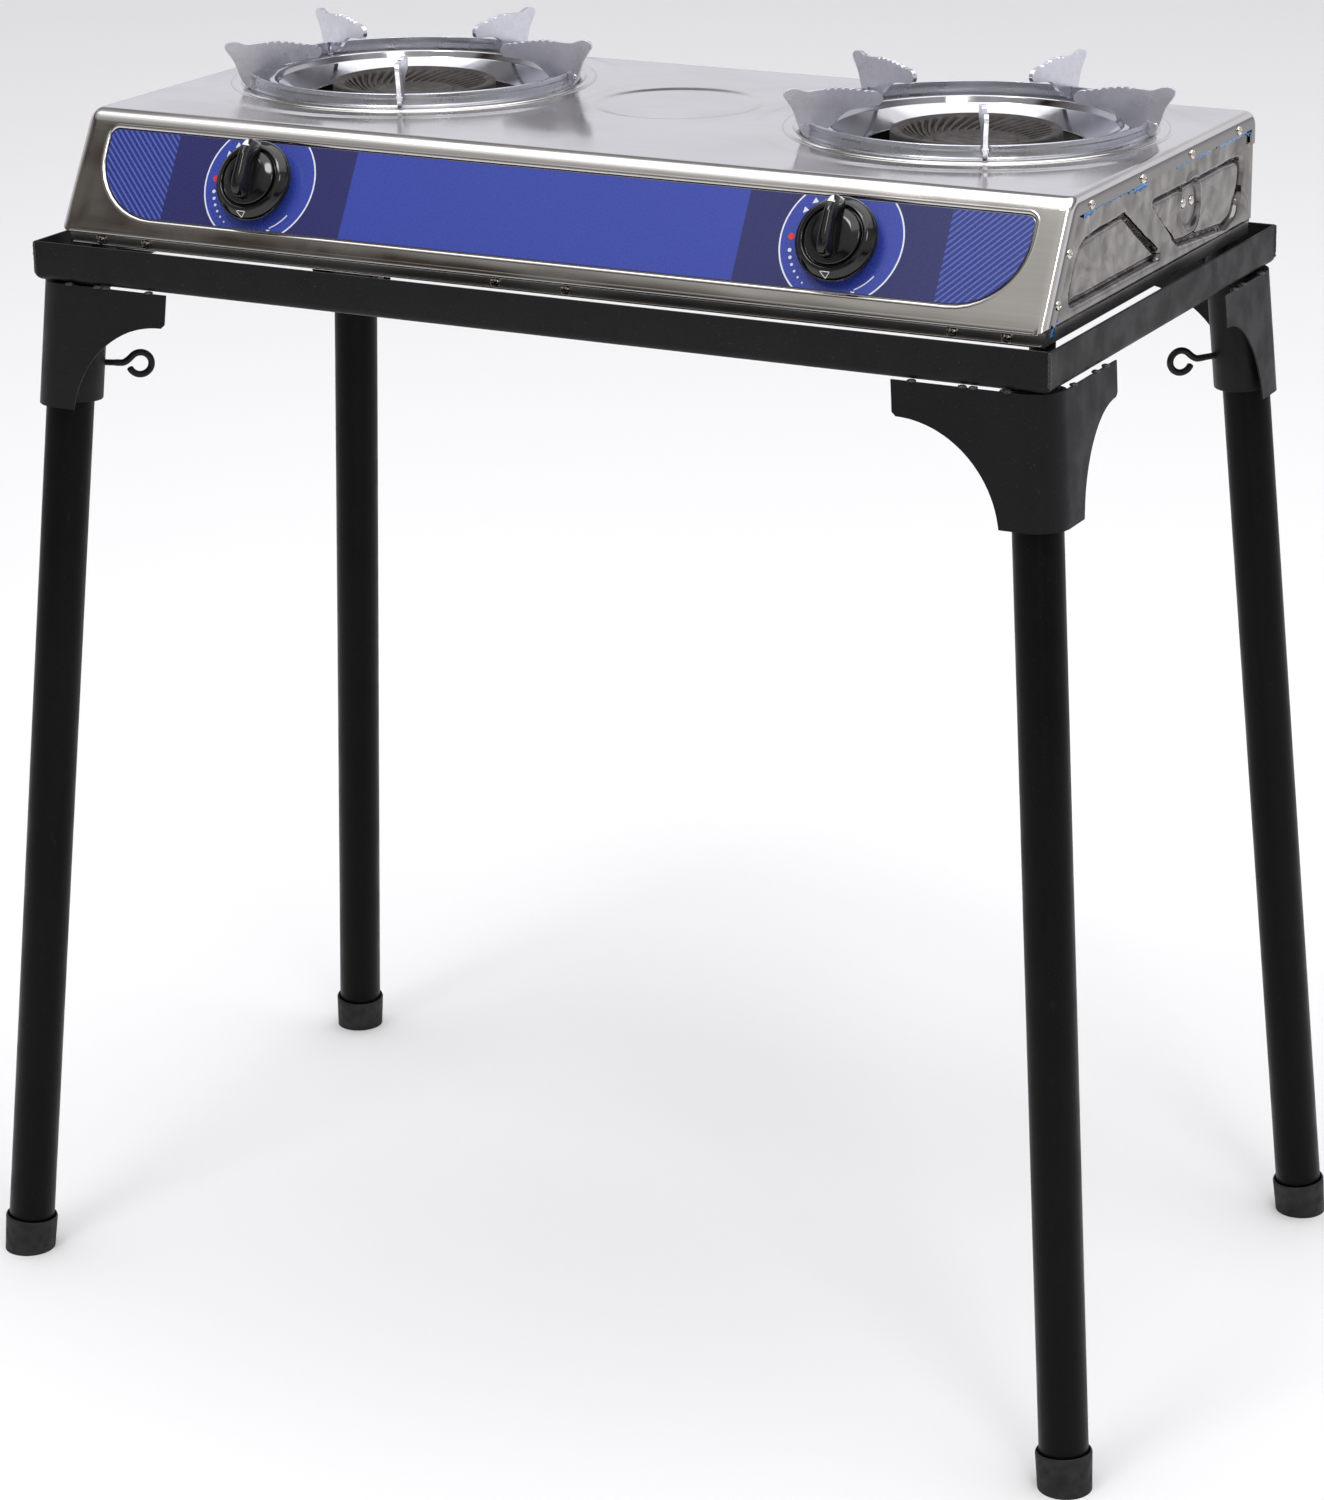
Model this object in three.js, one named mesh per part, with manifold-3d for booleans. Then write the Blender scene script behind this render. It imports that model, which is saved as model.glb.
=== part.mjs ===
// Two-burner gas camp stove lying loose in a welded angle stand on four splayed tube legs.
// Millimetres, +Z up, knobs on the -Y side, origin on the floor under the middle of the stand.

import * as THREE from "three";
import { mergeVertices } from "three/addons/utils/BufferGeometryUtils.js";
import Module from "manifold-3d";

const wasm = await Module();
wasm.setup();

// ---- driving dimensions ----------------------------------------------------------------------

const GAP = 0.3; // clearance kept between neighbouring pieces

const RAIL = { halfLength: 360, halfDepth: 195.7, top: 720.4, bottom: 694.4, ledge: 25, sheet: 2, bend: 5 };

// The leg axes meet the floor at (footX, footY) and lean out by leanX, leanY per millimetre down.
const LEG = { radius: 15.75, bore: 14.15, footX: 393.5, footY: 222.6, leanX: 0.0751, leanY: 0.0683 };
const LEAN = Math.hypot(LEG.leanX, LEG.leanY);
const TILT = Math.atan(LEAN);
const SOCKET = { radius: 20, bore: 17.8, inward: 1.5, bottom: 614, top: 691.5 };
const BRACKET = { radius: 21.7, sheet: 1.2, top: 693.6, bottom: 610.6, longEnd: 257.5, shortEnd: 94.5 };
const EYE = { wire: 2.25, ring: 7.5, reach: 45, height: 637 };

const BODY = { halfWidth: 350, front: -180, shoulder: -137.7, rear: 181, bottom: 725.5, deck: 799.6 };
const SHEET = 1;
const EDGE_ROUND = 7;
const LIP = 12;
const REAR_LIP = 22;

const BURNER = { x: 208.7, y: 42.7, capRadius: 55.5 };
const RING = { outer: 113, inner: 111.2, top: 810, slot: 805 };
const FINGER = { count: 5, firstAngle: -64, sheet: 2 };
const PAN = { opening: 72, deckHole: 95 };
const IGNITER = { x: 48.3, y: -40.5 };

const LABEL = {
  halfWidth: 328, low: 14, high: 72.7, topRound: 5, bottomRound: 45, recess: 1.8, thickness: 0.8,
};
const KNOB = { x: 207, up: 44.5, standOff: 4.6, radius: 27, stemHole: 7 };
const PIPE = { radius: 5, y: -121.7, z: 742.9, inletY: 70, inletZ: 757, inletX: -372 };
const STOVE_FOOT = { x: 336, y: 150, radius: 8 };

const FINE = 24;
const COARSE = 16;

// ---- materials -------------------------------------------------------------------------------

const paint = (color, roughness, metalness) =>
  new THREE.MeshStandardMaterial({ color, roughness, metalness });

const MATERIAL = {
  blackPaint: paint(0x1b1b1d, 0.5, 0.2),
  rubber: paint(0x141414, 0.8, 0),
  zincBlack: paint(0x1a1a1a, 0.35, 0.6),
  stainless: paint(0xc9c6c0, 0.22, 1),
  panelSteel: paint(0x9c9892, 0.12, 1),
  chrome: paint(0xd8d8da, 0.08, 1),
  galvanised: paint(0xaab0b6, 0.35, 0.9),
  iron: paint(0x3b332e, 0.7, 0.5),
  label: paint(0x2a3390, 0.35, 0),
  glossBlack: paint(0x0b0b0b, 0.12, 0),
  brass: paint(0xb08d4a, 0.35, 1),
  tube: paint(0x8f9396, 0.35, 0.9),
  ceramic: paint(0xe8e4da, 0.4, 0),
};

// ---- geometry helpers ------------------------------------------------------------------------

const X = new THREE.Vector3(1, 0, 0);
const Y = new THREE.Vector3(0, 1, 0);
const Z = new THREE.Vector3(0, 0, 1);

// One closed surface: shared corners merged, slivers on an axis dropped, faces turned outward.
function closed(geometry) {
  const bare = geometry.clone();
  bare.deleteAttribute("normal");
  bare.deleteAttribute("uv");
  const merged = mergeVertices(bare, 1e-4);
  const corner = [new THREE.Vector3(), new THREE.Vector3(), new THREE.Vector3()];
  const index = [];
  let volume = 0;
  for (let i = 0; i < merged.index.count; i += 3) {
    const [a, b, c] = [0, 1, 2].map((k) => merged.index.getX(i + k));
    if (a === b || b === c || c === a) continue;
    index.push(a, b, c);
    [a, b, c].forEach((v, k) => corner[k].fromBufferAttribute(merged.attributes.position, v));
    volume += corner[0].dot(corner[1].cross(corner[2]));
  }
  if (volume < 0) index.reverse();
  merged.setIndex(index);
  merged.computeVertexNormals();
  return merged;
}

function toSolid(geometry) {
  const mesh = closed(geometry);
  return new wasm.Manifold(new wasm.Mesh({
    numProp: 3,
    vertProperties: new Float32Array(mesh.attributes.position.array),
    triVerts: new Uint32Array(mesh.index.array),
  }));
}

function toGeometry(solid) {
  const mesh = solid.getMesh();
  const geometry = new THREE.BufferGeometry();
  geometry.setAttribute("position", new THREE.BufferAttribute(mesh.vertProperties, 3));
  geometry.setIndex(new THREE.BufferAttribute(mesh.triVerts, 1));
  geometry.computeVertexNormals();
  return geometry;
}

const join = (...parts) => toGeometry(parts.map(toSolid).reduce((whole, part) => whole.add(part)));

const cut = (whole, ...tools) =>
  toGeometry(tools.map(toSolid).reduce((rest, tool) => rest.subtract(tool), toSolid(whole)));

const keepInside = (whole, region) => toGeometry(toSolid(whole).intersect(toSolid(region)));

// Turns an outline of [radius, height] points about Z. An outline off the axis closes on itself.
function revolve(outline, segments) {
  const points = outline.map(([radius, height]) => new THREE.Vector2(radius, height));
  if (outline[0][0] > 0 || outline.at(-1)[0] > 0) points.push(points[0].clone());
  return closed(new THREE.LatheGeometry(points, segments).rotateX(Math.PI / 2));
}

const rod = (radius, low, high, segments = COARSE) =>
  revolve([[0, low], [radius, low], [radius, high], [0, high]], segments);

function straightRod(radius, from, to, segments) {
  const along = to.clone().sub(from);
  const turn = new THREE.Quaternion().setFromUnitVectors(Z, along.clone().normalize());
  return rod(radius, 0, along.length(), segments).applyQuaternion(turn).translate(from.x, from.y, from.z);
}

const box = (x0, x1, y0, y1, z0, z1) =>
  new THREE.BoxGeometry(x1 - x0, y1 - y0, z1 - z0).translate((x0 + x1) / 2, (y0 + y1) / 2, (z0 + z1) / 2);

// Extrudes an outline along an axis: along x it is drawn in (y, z), along y in (x, z).
const DRAWN = {
  x: new THREE.Matrix4().makeBasis(Y, Z, X),
  y: new THREE.Matrix4().makeBasis(X, Z, Y.clone().negate()),
  z: new THREE.Matrix4(),
};

function extrude(shape, axis, from, to, options = {}) {
  const bevel = options.bevelThickness ?? 0;
  const settings = { depth: to - from - 2 * bevel, bevelEnabled: bevel > 0, curveSegments: 5, ...options };
  const start = (axis === "y" ? -to : from) + bevel;
  return new THREE.ExtrudeGeometry(shape, settings).translate(0, 0, start).applyMatrix4(DRAWN[axis]);
}

const polygon = (points) => new THREE.Shape(points.map(([u, v]) => new THREE.Vector2(u, v)));

// A round wire or tube along a curve.
function wire(curve, radius, steps, sides) {
  const section = new THREE.Shape();
  section.absarc(0, 0, radius, 0, 2 * Math.PI);
  return new THREE.ExtrudeGeometry(section, { steps, curveSegments: sides / 2, extrudePath: curve });
}

function place(parent, name, geometry, material) {
  const mesh = new THREE.Mesh(closed(geometry), material);
  mesh.name = name;
  parent.add(mesh);
  return mesh;
}

const mirrored = (geometry, sx, sy) => geometry.clone().scale(sx, sy, 1);

const CORNERS = [
  { name: "front_left", sx: -1, sy: -1 },
  { name: "front_right", sx: 1, sy: -1 },
  { name: "rear_left", sx: -1, sy: 1 },
  { name: "rear_right", sx: 1, sy: 1 },
];
const SIDES = [
  { name: "left", sx: -1 },
  { name: "right", sx: 1 },
];

// ---- stand: four mitred angle rails ----------------------------------------------------------

// A rail along X with its outer face at y = -halfDepth and its ledge turned inward.
function railGeometry(halfLength, halfDepth) {
  const { top, bottom, ledge, sheet, bend } = RAIL;
  const section = new THREE.Shape();
  section.moveTo(0, top);
  section.lineTo(0, bottom + bend);
  section.absarc(bend, bottom + bend, bend, Math.PI, 1.5 * Math.PI, false);
  section.lineTo(ledge, bottom);
  section.lineTo(ledge, bottom + sheet);
  section.lineTo(bend, bottom + sheet);
  section.absarc(bend, bottom + bend, bend - sheet, 1.5 * Math.PI, Math.PI, true);
  section.lineTo(sheet, top);
  const geometry = extrude(section, "x", -halfLength, halfLength, { curveSegments: 3 });
  const position = geometry.attributes.position;
  const mitreGap = 0.2;
  for (let i = 0; i < position.count; i += 1) {
    const inward = position.getY(i);
    position.setX(i, Math.sign(position.getX(i)) * (halfLength - inward - mitreGap));
  }
  return geometry.translate(0, -halfDepth, 0);
}

// ---- stand: corner brackets ------------------------------------------------------------------

// A sheet folded round the outer side of the leg socket, with an arm under each of two rails. It is
// drawn for the corner at +X, +Y and leans with the leg.
function bracketGeometry() {
  const { radius, sheet, top, bottom, longEnd, shortEnd } = BRACKET;
  const axisX = LEG.footX - LEG.leanX * (top + SOCKET.inward / LEAN);
  const axisY = LEG.footY - LEG.leanY * (top + SOCKET.inward / LEAN);
  const inner = radius - sheet;
  const section = new THREE.Shape();
  section.moveTo(longEnd, axisY + radius);
  section.lineTo(axisX, axisY + radius);
  section.absarc(axisX, axisY, radius, Math.PI / 2, 0, true);
  section.lineTo(axisX + radius, shortEnd);
  section.lineTo(axisX + inner, shortEnd);
  section.lineTo(axisX + inner, axisY);
  section.absarc(axisX, axisY, inner, 0, Math.PI / 2, false);
  section.lineTo(longEnd, axisY + inner);
  const folded = extrude(section, "z", bottom, top);
  const position = folded.attributes.position;
  for (let i = 0; i < position.count; i += 1) {
    const drop = top - position.getZ(i);
    position.setX(i, position.getX(i) + LEG.leanX * drop);
    position.setY(i, position.getY(i) + LEG.leanY * drop);
  }
  const armDepth = 22;
  const longTip = 331;
  const shortTip = 158;
  const below = bottom - 5;
  return cut(
    folded,
    extrude(archOutline(longEnd, longTip, top - armDepth, below), "y", axisY, axisY + 50),
    extrude(archOutline(shortEnd, shortTip, top - armDepth, below), "x", axisX, axisX + 50),
  );
}

// The region under a bracket arm: flat from the arm's end, then a quarter ellipse down to the tip.
function archOutline(armEnd, tip, height, below) {
  const outside = armEnd - 20;
  const region = new THREE.Shape();
  region.moveTo(outside, height);
  region.lineTo(armEnd + 1, height);
  region.absellipse(armEnd + 1, below, tip - armEnd - 1, height - below, Math.PI / 2, 0, true);
  region.lineTo(outside, below);
  return region;
}

// ---- stand: sockets, legs, caps and eye screws, drawn in the leg's own frame -----------------

// Local Z runs up the leg and local X points inward, square to the leg, towards the stand's middle.
const alongLeg = (height) => height / Math.cos(TILT);

function legFrame({ sx, sy }) {
  const inward = new THREE.Vector3((-sx * LEG.leanX) / LEAN, (-sy * LEG.leanY) / LEAN, 0);
  const up = inward.clone().multiplyScalar(Math.sin(TILT)).addScaledVector(Z, Math.cos(TILT));
  const across = inward.clone().multiplyScalar(Math.cos(TILT)).addScaledVector(Z, -Math.sin(TILT));
  const side = up.clone().cross(across);
  const frame = new THREE.Group();
  frame.quaternion.setFromRotationMatrix(new THREE.Matrix4().makeBasis(across, side, up));
  frame.position.set(sx * LEG.footX, sy * LEG.footY, 0);
  return frame;
}

function tube(outer, inner, low, high, segments) {
  return revolve([[inner, low], [outer, low], [outer, high], [inner, high]], segments);
}

function socketGeometry() {
  const sleeve = tube(SOCKET.radius, SOCKET.bore, alongLeg(SOCKET.bottom), alongLeg(SOCKET.top), COARSE + 4);
  const screwHole = rod(EYE.wire + GAP, 0, 40, 10).rotateY(Math.PI / 2).translate(0, 0, alongLeg(EYE.height));
  return cut(sleeve.translate(SOCKET.inward, 0, 0), screwHole);
}

function legGeometry() {
  const legBottom = 5.4;
  const legTop = 692.3;
  return tube(LEG.radius, LEG.bore, legBottom, alongLeg(legTop), COARSE);
}

// A rubber cap with a thick floor, ground off level where it stands.
function footCapGeometry() {
  const lip = 25;
  const floorThickness = 5;
  const bore = LEG.radius + GAP;
  const cap = revolve([
    [0, -4], [17.3, -4], [18.1, lip - 1.5], [17.6, lip], [bore, lip], [bore, floorThickness],
    [0, floorThickness],
  ], COARSE);
  const aboveFloor = box(-50, 50, -50, 50, 0, 80).rotateY(-TILT);
  return keepInside(cap, aboveFloor);
}

// A straight shank that lifts into an open ring, its end just under the shank.
function eyeScrewGeometry() {
  const { ring, reach, wire: wireRadius } = EYE;
  const start = THREE.MathUtils.degToRad(140);
  const end = THREE.MathUtils.degToRad(-152);
  const shankEnd = reach - 12.5;
  const kneeX = reach - 9.8;
  const path = new THREE.Path();
  path.moveTo(LEG.radius + GAP, 0);
  path.lineTo(shankEnd, 0);
  path.quadraticCurveTo(kneeX, 0, reach + ring * Math.cos(start), ring * Math.sin(start));
  path.absarc(reach, 0, ring, start, end, true);
  const steps = 24;
  const centreLine = path.getSpacedPoints(steps).map(({ x, y }) => new THREE.Vector3(x, 0, y));
  const curve = new THREE.CatmullRomCurve3(centreLine);
  return wire(curve, wireRadius, steps, 6).translate(0, 0, alongLeg(EYE.height));
}

// ---- stove casing ----------------------------------------------------------------------------

const FACE_RUN = (BODY.shoulder - BODY.front) / (BODY.deck - BODY.bottom);
const FACE_LEAN = Math.atan(FACE_RUN);
const faceY = (height, inset) => BODY.front + (height - BODY.bottom) * FACE_RUN + inset / Math.cos(FACE_LEAN);

// The casing's side view in (y, z), moved inward by inset: sloping front, flat deck, upright back.
function bodyOutline(inset) {
  const low = BODY.bottom + inset;
  const high = BODY.deck - inset;
  const back = BODY.rear - inset;
  const front = (height) => faceY(height, inset);
  const shape = new THREE.Shape();
  shape.moveTo(front(low), low);
  shape.lineTo(front(high - 8), high - 8);
  shape.quadraticCurveTo(front(high), high, front(high) + 9, high);
  shape.lineTo(back - 12, high);
  shape.quadraticCurveTo(back, high, back, high - 12);
  shape.lineTo(back, low);
  return shape;
}

function roundedBody(inset) {
  const halfWidth = BODY.halfWidth - inset;
  const round = EDGE_ROUND - inset;
  const bevel = { bevelThickness: round, bevelSize: round, bevelOffset: -round, bevelSegments: 3 };
  return extrude(bodyOutline(inset), "x", -halfWidth, halfWidth, { ...bevel, curveSegments: 3 });
}

// The sloping face's own frame: x along the stove, y up the slope from its lower edge, z outward.
function faceFrame() {
  const frame = new THREE.Group();
  frame.rotation.x = Math.PI / 2 - FACE_LEAN;
  frame.position.set(0, BODY.front, BODY.bottom);
  frame.updateMatrix();
  return frame;
}
const FACE = faceFrame();

function labelOutline(grow) {
  const { halfWidth, low, high, topRound, bottomRound } = LABEL;
  const side = halfWidth + grow;
  const foot = low - grow;
  const head = high + grow;
  const shape = new THREE.Shape();
  shape.moveTo(bottomRound - side, foot);
  shape.lineTo(side - bottomRound, foot);
  shape.absarc(side - bottomRound, foot + bottomRound, bottomRound, -Math.PI / 2, 0, false);
  shape.lineTo(side, head - topRound);
  shape.absarc(side - topRound, head - topRound, topRound, 0, Math.PI / 2, false);
  shape.lineTo(topRound - side, head);
  shape.absarc(topRound - side, head - topRound, topRound, Math.PI / 2, Math.PI, false);
  shape.lineTo(-side, foot + bottomRound);
  shape.absarc(bottomRound - side, foot + bottomRound, bottomRound, Math.PI, 1.5 * Math.PI, false);
  return shape;
}

const stemHoles = () =>
  SIDES.map(({ sx }) => rod(KNOB.stemHole, -10, 10, 16).translate(sx * KNOB.x, KNOB.up, 0));

function topCoverGeometry() {
  const high = BODY.deck - LIP;
  const beyond = BODY.rear + 20;
  const rearWall = BODY.rear - 10;
  const rearLip = BODY.deck - REAR_LIP;
  const openSides = polygon([
    [faceY(700, LIP), 700], [faceY(high - 8, LIP), high - 8], [faceY(high, LIP) + 7, high],
    [rearWall, high], [rearWall, rearLip], [beyond, rearLip], [beyond, 700],
  ]);
  const shell = cut(roundedBody(0), roundedBody(SHEET), extrude(openSides, "x", -400, 400));
  const recessDepth = -LABEL.recess;
  const recessBack = extrude(labelOutline(3), "z", recessDepth - 1.2, -SHEET / 2).applyMatrix4(FACE.matrix);
  const recess = extrude(labelOutline(1), "z", recessDepth, 5).applyMatrix4(FACE.matrix);
  const burnerHoles = SIDES.map(({ sx }) =>
    rod(PAN.deckHole, BODY.deck - 20, BODY.deck + 20, FINE).translate(sx * BURNER.x, BURNER.y, 0));
  const stemHolesInPlace = stemHoles().map((hole) => hole.applyMatrix4(FACE.matrix));
  return cut(join(shell, recessBack), recess, ...burnerHoles, ...stemHolesInPlace);
}

function controlLabelGeometry() {
  const back = GAP - LABEL.recess;
  return cut(extrude(labelOutline(0), "z", back, back + LABEL.thickness), ...stemHoles());
}

// A plain sheet behind the cover's side lip, with its front lower corner trimmed.
function sidePanelGeometry(sx) {
  const inset = 6.5;
  const low = BODY.bottom + 1.5;
  const high = BODY.deck - inset;
  const back = BODY.rear - inset;
  const outline = polygon([
    [-160, low], [back, low], [back, high - 12], [back - 12, high],
    [faceY(high, inset) + 10, high], [faceY(high - 9, inset), high - 9], [faceY(low + 9, inset), low + 9],
  ]);
  const outerFace = BODY.halfWidth - SHEET - GAP;
  const sheet = extrude(outline, "x", outerFace - SHEET, outerFace);
  if (sx > 0) return sheet;
  const inletHole = rod(8, -400, -300, 16).rotateY(Math.PI / 2).translate(0, PIPE.inletY, PIPE.inletZ);
  return cut(mirrored(sheet, sx, 1), inletHole);
}

// Floor sheet with a turned-down rim and the casing's back wall, vented under each burner.
function basePanGeometry() {
  const under = BODY.bottom - GAP - SHEET;
  const floorTop = under + SHEET;
  const back = BODY.rear - SHEET - GAP;
  const wallTop = BODY.deck - 14.5;
  const rim = 716;
  const front = -172;
  const halfWidth = 346.5;
  const fold = polygon([
    [front, rim], [front, floorTop], [back - SHEET, floorTop], [back - SHEET, wallTop],
    [back, wallTop], [back, under], [front + SHEET, under], [front + SHEET, rim],
  ]);
  const rimFace = halfWidth - 0.5;
  const sideRims = SIDES.map(({ sx }) =>
    box(rimFace - SHEET, rimFace, front + 0.5, back - 0.5, rim + 0.5, under + 0.5).scale(sx, 1, 1));
  const ventCircle = 38;
  const vents = SIDES.flatMap(({ sx }) => [45, 135, 225, 315].map((angle) => {
    const turn = THREE.MathUtils.degToRad(angle);
    const vent = rod(11, under - 10, floorTop + 10, 12).translate(sx * BURNER.x, BURNER.y, 0);
    return vent.translate(ventCircle * Math.cos(turn), ventCircle * Math.sin(turn), 0);
  }));
  const cornerWidth = 4.5;
  const wallCorners = SIDES.map(({ sx }) =>
    box(halfWidth - cornerWidth, 400, 170, 200, wallTop - 12, wallTop + 5).scale(sx, 1, 1));
  return cut(join(extrude(fold, "x", -halfWidth, halfWidth), ...sideRims), ...vents, ...wallCorners);
}

const stoveFootGeometry = () => {
  const low = RAIL.bottom + RAIL.sheet + GAP;
  const high = BODY.bottom - 2 * GAP - SHEET;
  const { radius } = STOVE_FOOT;
  return revolve([[0, low], [radius - 1, low], [radius, low + 2], [radius, high], [0, high]], 16);
};

// ---- gas train -------------------------------------------------------------------------------

// Supply tube from the threaded inlet on the left side to both valves.
function manifoldGeometry() {
  const { radius, y, z, inletY, inletZ, inletX } = PIPE;
  const turnX = -322;
  const stops = [[inletX + 6, inletY, inletZ], [turnX, inletY, inletZ], [turnX, y, z], [KNOB.x + 30, y, z]]
    .map((stop) => new THREE.Vector3(...stop));
  const runs = stops.slice(1).map((stop, k) => straightRod(radius, stops[k], stop, 10));
  const elbowRadius = radius * 1.03;
  const elbows = stops.slice(1, -1).map((stop) =>
    new THREE.SphereGeometry(elbowRadius, 10, 6).translate(stop.x, stop.y, stop.z));
  const nipple = revolve([
    [0, 0], [8.5, 0], [9.3, 1.5], [9.3, 13], [7.2, 14], [7.2, 30], [0, 30],
  ], 16).rotateY(Math.PI / 2).translate(inletX, inletY, inletZ);
  const bore = rod(3.5, -2, 16, 10).rotateY(Math.PI / 2).translate(inletX, inletY, inletZ);
  return cut(join(...runs, ...elbows, nipple), bore);
}

// Tap body in the knob's frame, with its jet tube pointing level towards the burner.
function valveGeometry() {
  const tap = revolve([
    [0, -36], [9, -36], [9, -27], [12, -25], [12, -9], [8.5, -8], [8.5, -5], [4.5, -5], [4.5, -17],
    [0, -17],
  ], 16);
  const jetDepth = -20;
  const jet = rod(4.5, 4.7, 46, 12).rotateX(-Math.PI / 2).rotateX(FACE_LEAN - Math.PI / 2);
  return join(tap, jet.translate(0, 0, jetDepth));
}

const stemGeometry = () => rod(4, -16.5, 13, 12);

// Round dial with a stepped rim and a pointer grip across it, bored from below for the stem.
function knobGeometry() {
  const { radius, standOff } = KNOB;
  const dial = revolve([
    [0, standOff], [radius - 1.5, standOff], [radius, standOff + 1.5], [radius, standOff + 4.5],
    [radius - 1.6, standOff + 7.5], [radius - 5.5, standOff + 10], [radius - 6.5, standOff + 9],
    [radius - 7.3, standOff + 9], [radius - 8, standOff + 11], [radius - 10, standOff + 12],
    [0, standOff + 12],
  ], FINE);
  const grip = new THREE.Shape();
  const halfGrip = 5.6;
  grip.absarc(0, 18.5, halfGrip, 0, Math.PI, false);
  grip.absarc(0, -10, halfGrip, Math.PI, 2 * Math.PI, false);
  const edge = 2.2;
  const bevel = { bevelThickness: edge, bevelSize: edge, bevelOffset: -edge, bevelSegments: 1 };
  const bar = extrude(grip, "z", standOff + 8, standOff + 24.5, { ...bevel, curveSegments: 4 });
  return cut(join(dial, bar), rod(4.4, standOff - 2, 18, 16));
}

// ---- burners ---------------------------------------------------------------------------------

// Cast cup on a pillar with its mixing tube running forward to the jet. Drawn about the burner axis.
function burnerBodyGeometry() {
  const cup = revolve([
    [0, 741], [34, 741], [47, 764], [50, 771], [50, 794.2], [46.2, 794.2], [46.2, 772], [31, 745.5],
    [0, 745.5],
  ], FINE);
  const jetHeight = 754.1;
  const mouth = 139;
  const mixer = rod(11.5, 34, mouth, 16).rotateX(Math.PI / 2).translate(0, 0, jetHeight);
  const mixerBore = rod(9, 20, mouth + 2, 16).rotateX(Math.PI / 2).translate(0, 0, jetHeight);
  const pillar = rod(9, BODY.bottom, 742, 12);
  return cut(join(cup, mixer, pillar), mixerBore);
}

// Lid of the burner: a skirt over the cup's rim and a dished face.
function burnerCapGeometry() {
  const r = BURNER.capRadius;
  return revolve([
    [0, 790], [24, 789], [30, 787], [46.5, 794.5], [50.4, 794.5], [50.4, 784], [r, 784], [r, 798],
    [r - 1.3, 799.3], [r - 4.5, 799.3], [50.2, 798.4], [31, 790.3], [27, 790.3], [23, 793], [0, 794],
  ], FINE);
}

// Loose reflector dish round the burner, hung on the deck by its flange.
function dripPanGeometry() {
  return revolve([
    [103.5, 799.9], [103.5, 800.8], [100.6, 801], [98.2, 803.3], [95.4, 803.3], [92, 798.4],
    [PAN.opening, 788.7], [PAN.opening, 787.7], [93, 797.6], [95.9, 802.3], [97.8, 802.3], [100, 799.9],
  ], FINE);
}

// Upright band with a slot for each finger.
function panRingGeometry() {
  const band = tube(RING.outer, RING.inner, BODY.deck + GAP, RING.top, FINE + 8);
  const halfSlot = FINGER.sheet / 2 + GAP;
  const slots = fingerAngles().map((angle) =>
    box(RING.inner - 3, RING.outer + 3, -halfSlot, halfSlot, RING.slot, RING.top + 5).rotateZ(angle));
  return cut(band, ...slots);
}

const fingerAngles = () =>
  Array.from({ length: FINGER.count }, (_, k) =>
    THREE.MathUtils.degToRad(FINGER.firstAngle + (k * 360) / FINGER.count));

// Finger plate in (radius, height): horned at the outer end, notched below to straddle the ring.
function fingerGeometry() {
  const notchTop = RING.slot + GAP;
  const outside = RING.outer + 0.5;
  const inside = RING.inner - 1;
  const plate = new THREE.Shape();
  plate.moveTo(outside, notchTop);
  plate.lineTo(outside, 801);
  plate.lineTo(115.8, 801);
  plate.splineThru([[119, 806], [121, 811], [124, 819], [129.4, 827.4]].map(toPoint));
  plate.splineThru([[128, 831.5], [124.5, 832.5], [121, 832], [114.5, 830.4], [103, 831.3]].map(toPoint));
  plate.splineThru([[96, 832], [86, 831], [75, 829], [66.5, 827]].map(toPoint));
  plate.splineThru([[63.6, 823], [66.4, 818.5], [74, 818], [86, 816.2], [93, 812.4]].map(toPoint));
  plate.splineThru([[98.5, 807.2], [104, 804.2], [inside, 803.6]].map(toPoint));
  plate.lineTo(inside, notchTop);
  return extrude(plate, "y", -FINGER.sheet / 2, FINGER.sheet / 2, { curveSegments: 1 });
}
const toPoint = ([u, v]) => new THREE.Vector2(u, v);

const igniterGeometry = () => {
  const low = BODY.bottom;
  const outline = [[0, low], [4.5, low], [4.5, 729], [2.6, 730], [2.6, 792], [1, 793], [1, 800], [0, 800]];
  return revolve(outline, 8);
};

// ---- assembly --------------------------------------------------------------------------------

function buildStand() {
  const stand = new THREE.Group();
  const longRail = railGeometry(RAIL.halfLength, RAIL.halfDepth);
  const shortRail = railGeometry(RAIL.halfDepth, RAIL.halfLength);
  place(stand, "rail_front", longRail, MATERIAL.blackPaint);
  place(stand, "rail_rear", longRail, MATERIAL.blackPaint).rotation.z = Math.PI;
  place(stand, "rail_right", shortRail, MATERIAL.blackPaint).rotation.z = Math.PI / 2;
  place(stand, "rail_left", shortRail, MATERIAL.blackPaint).rotation.z = -Math.PI / 2;
  const bracket = bracketGeometry();
  const socket = socketGeometry();
  const leg = legGeometry();
  const footCap = footCapGeometry();
  const eyeScrew = eyeScrewGeometry();
  for (const corner of CORNERS) {
    place(stand, `bracket_${corner.name}`, mirrored(bracket, corner.sx, corner.sy), MATERIAL.blackPaint);
    const frame = legFrame(corner);
    place(frame, `socket_${corner.name}`, socket, MATERIAL.blackPaint);
    place(frame, `leg_${corner.name}`, leg, MATERIAL.blackPaint);
    place(frame, `foot_cap_${corner.name}`, footCap, MATERIAL.rubber);
    place(frame, `eye_screw_${corner.name}`, eyeScrew, MATERIAL.zincBlack);
    stand.add(frame);
  }
  return stand;
}

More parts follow.
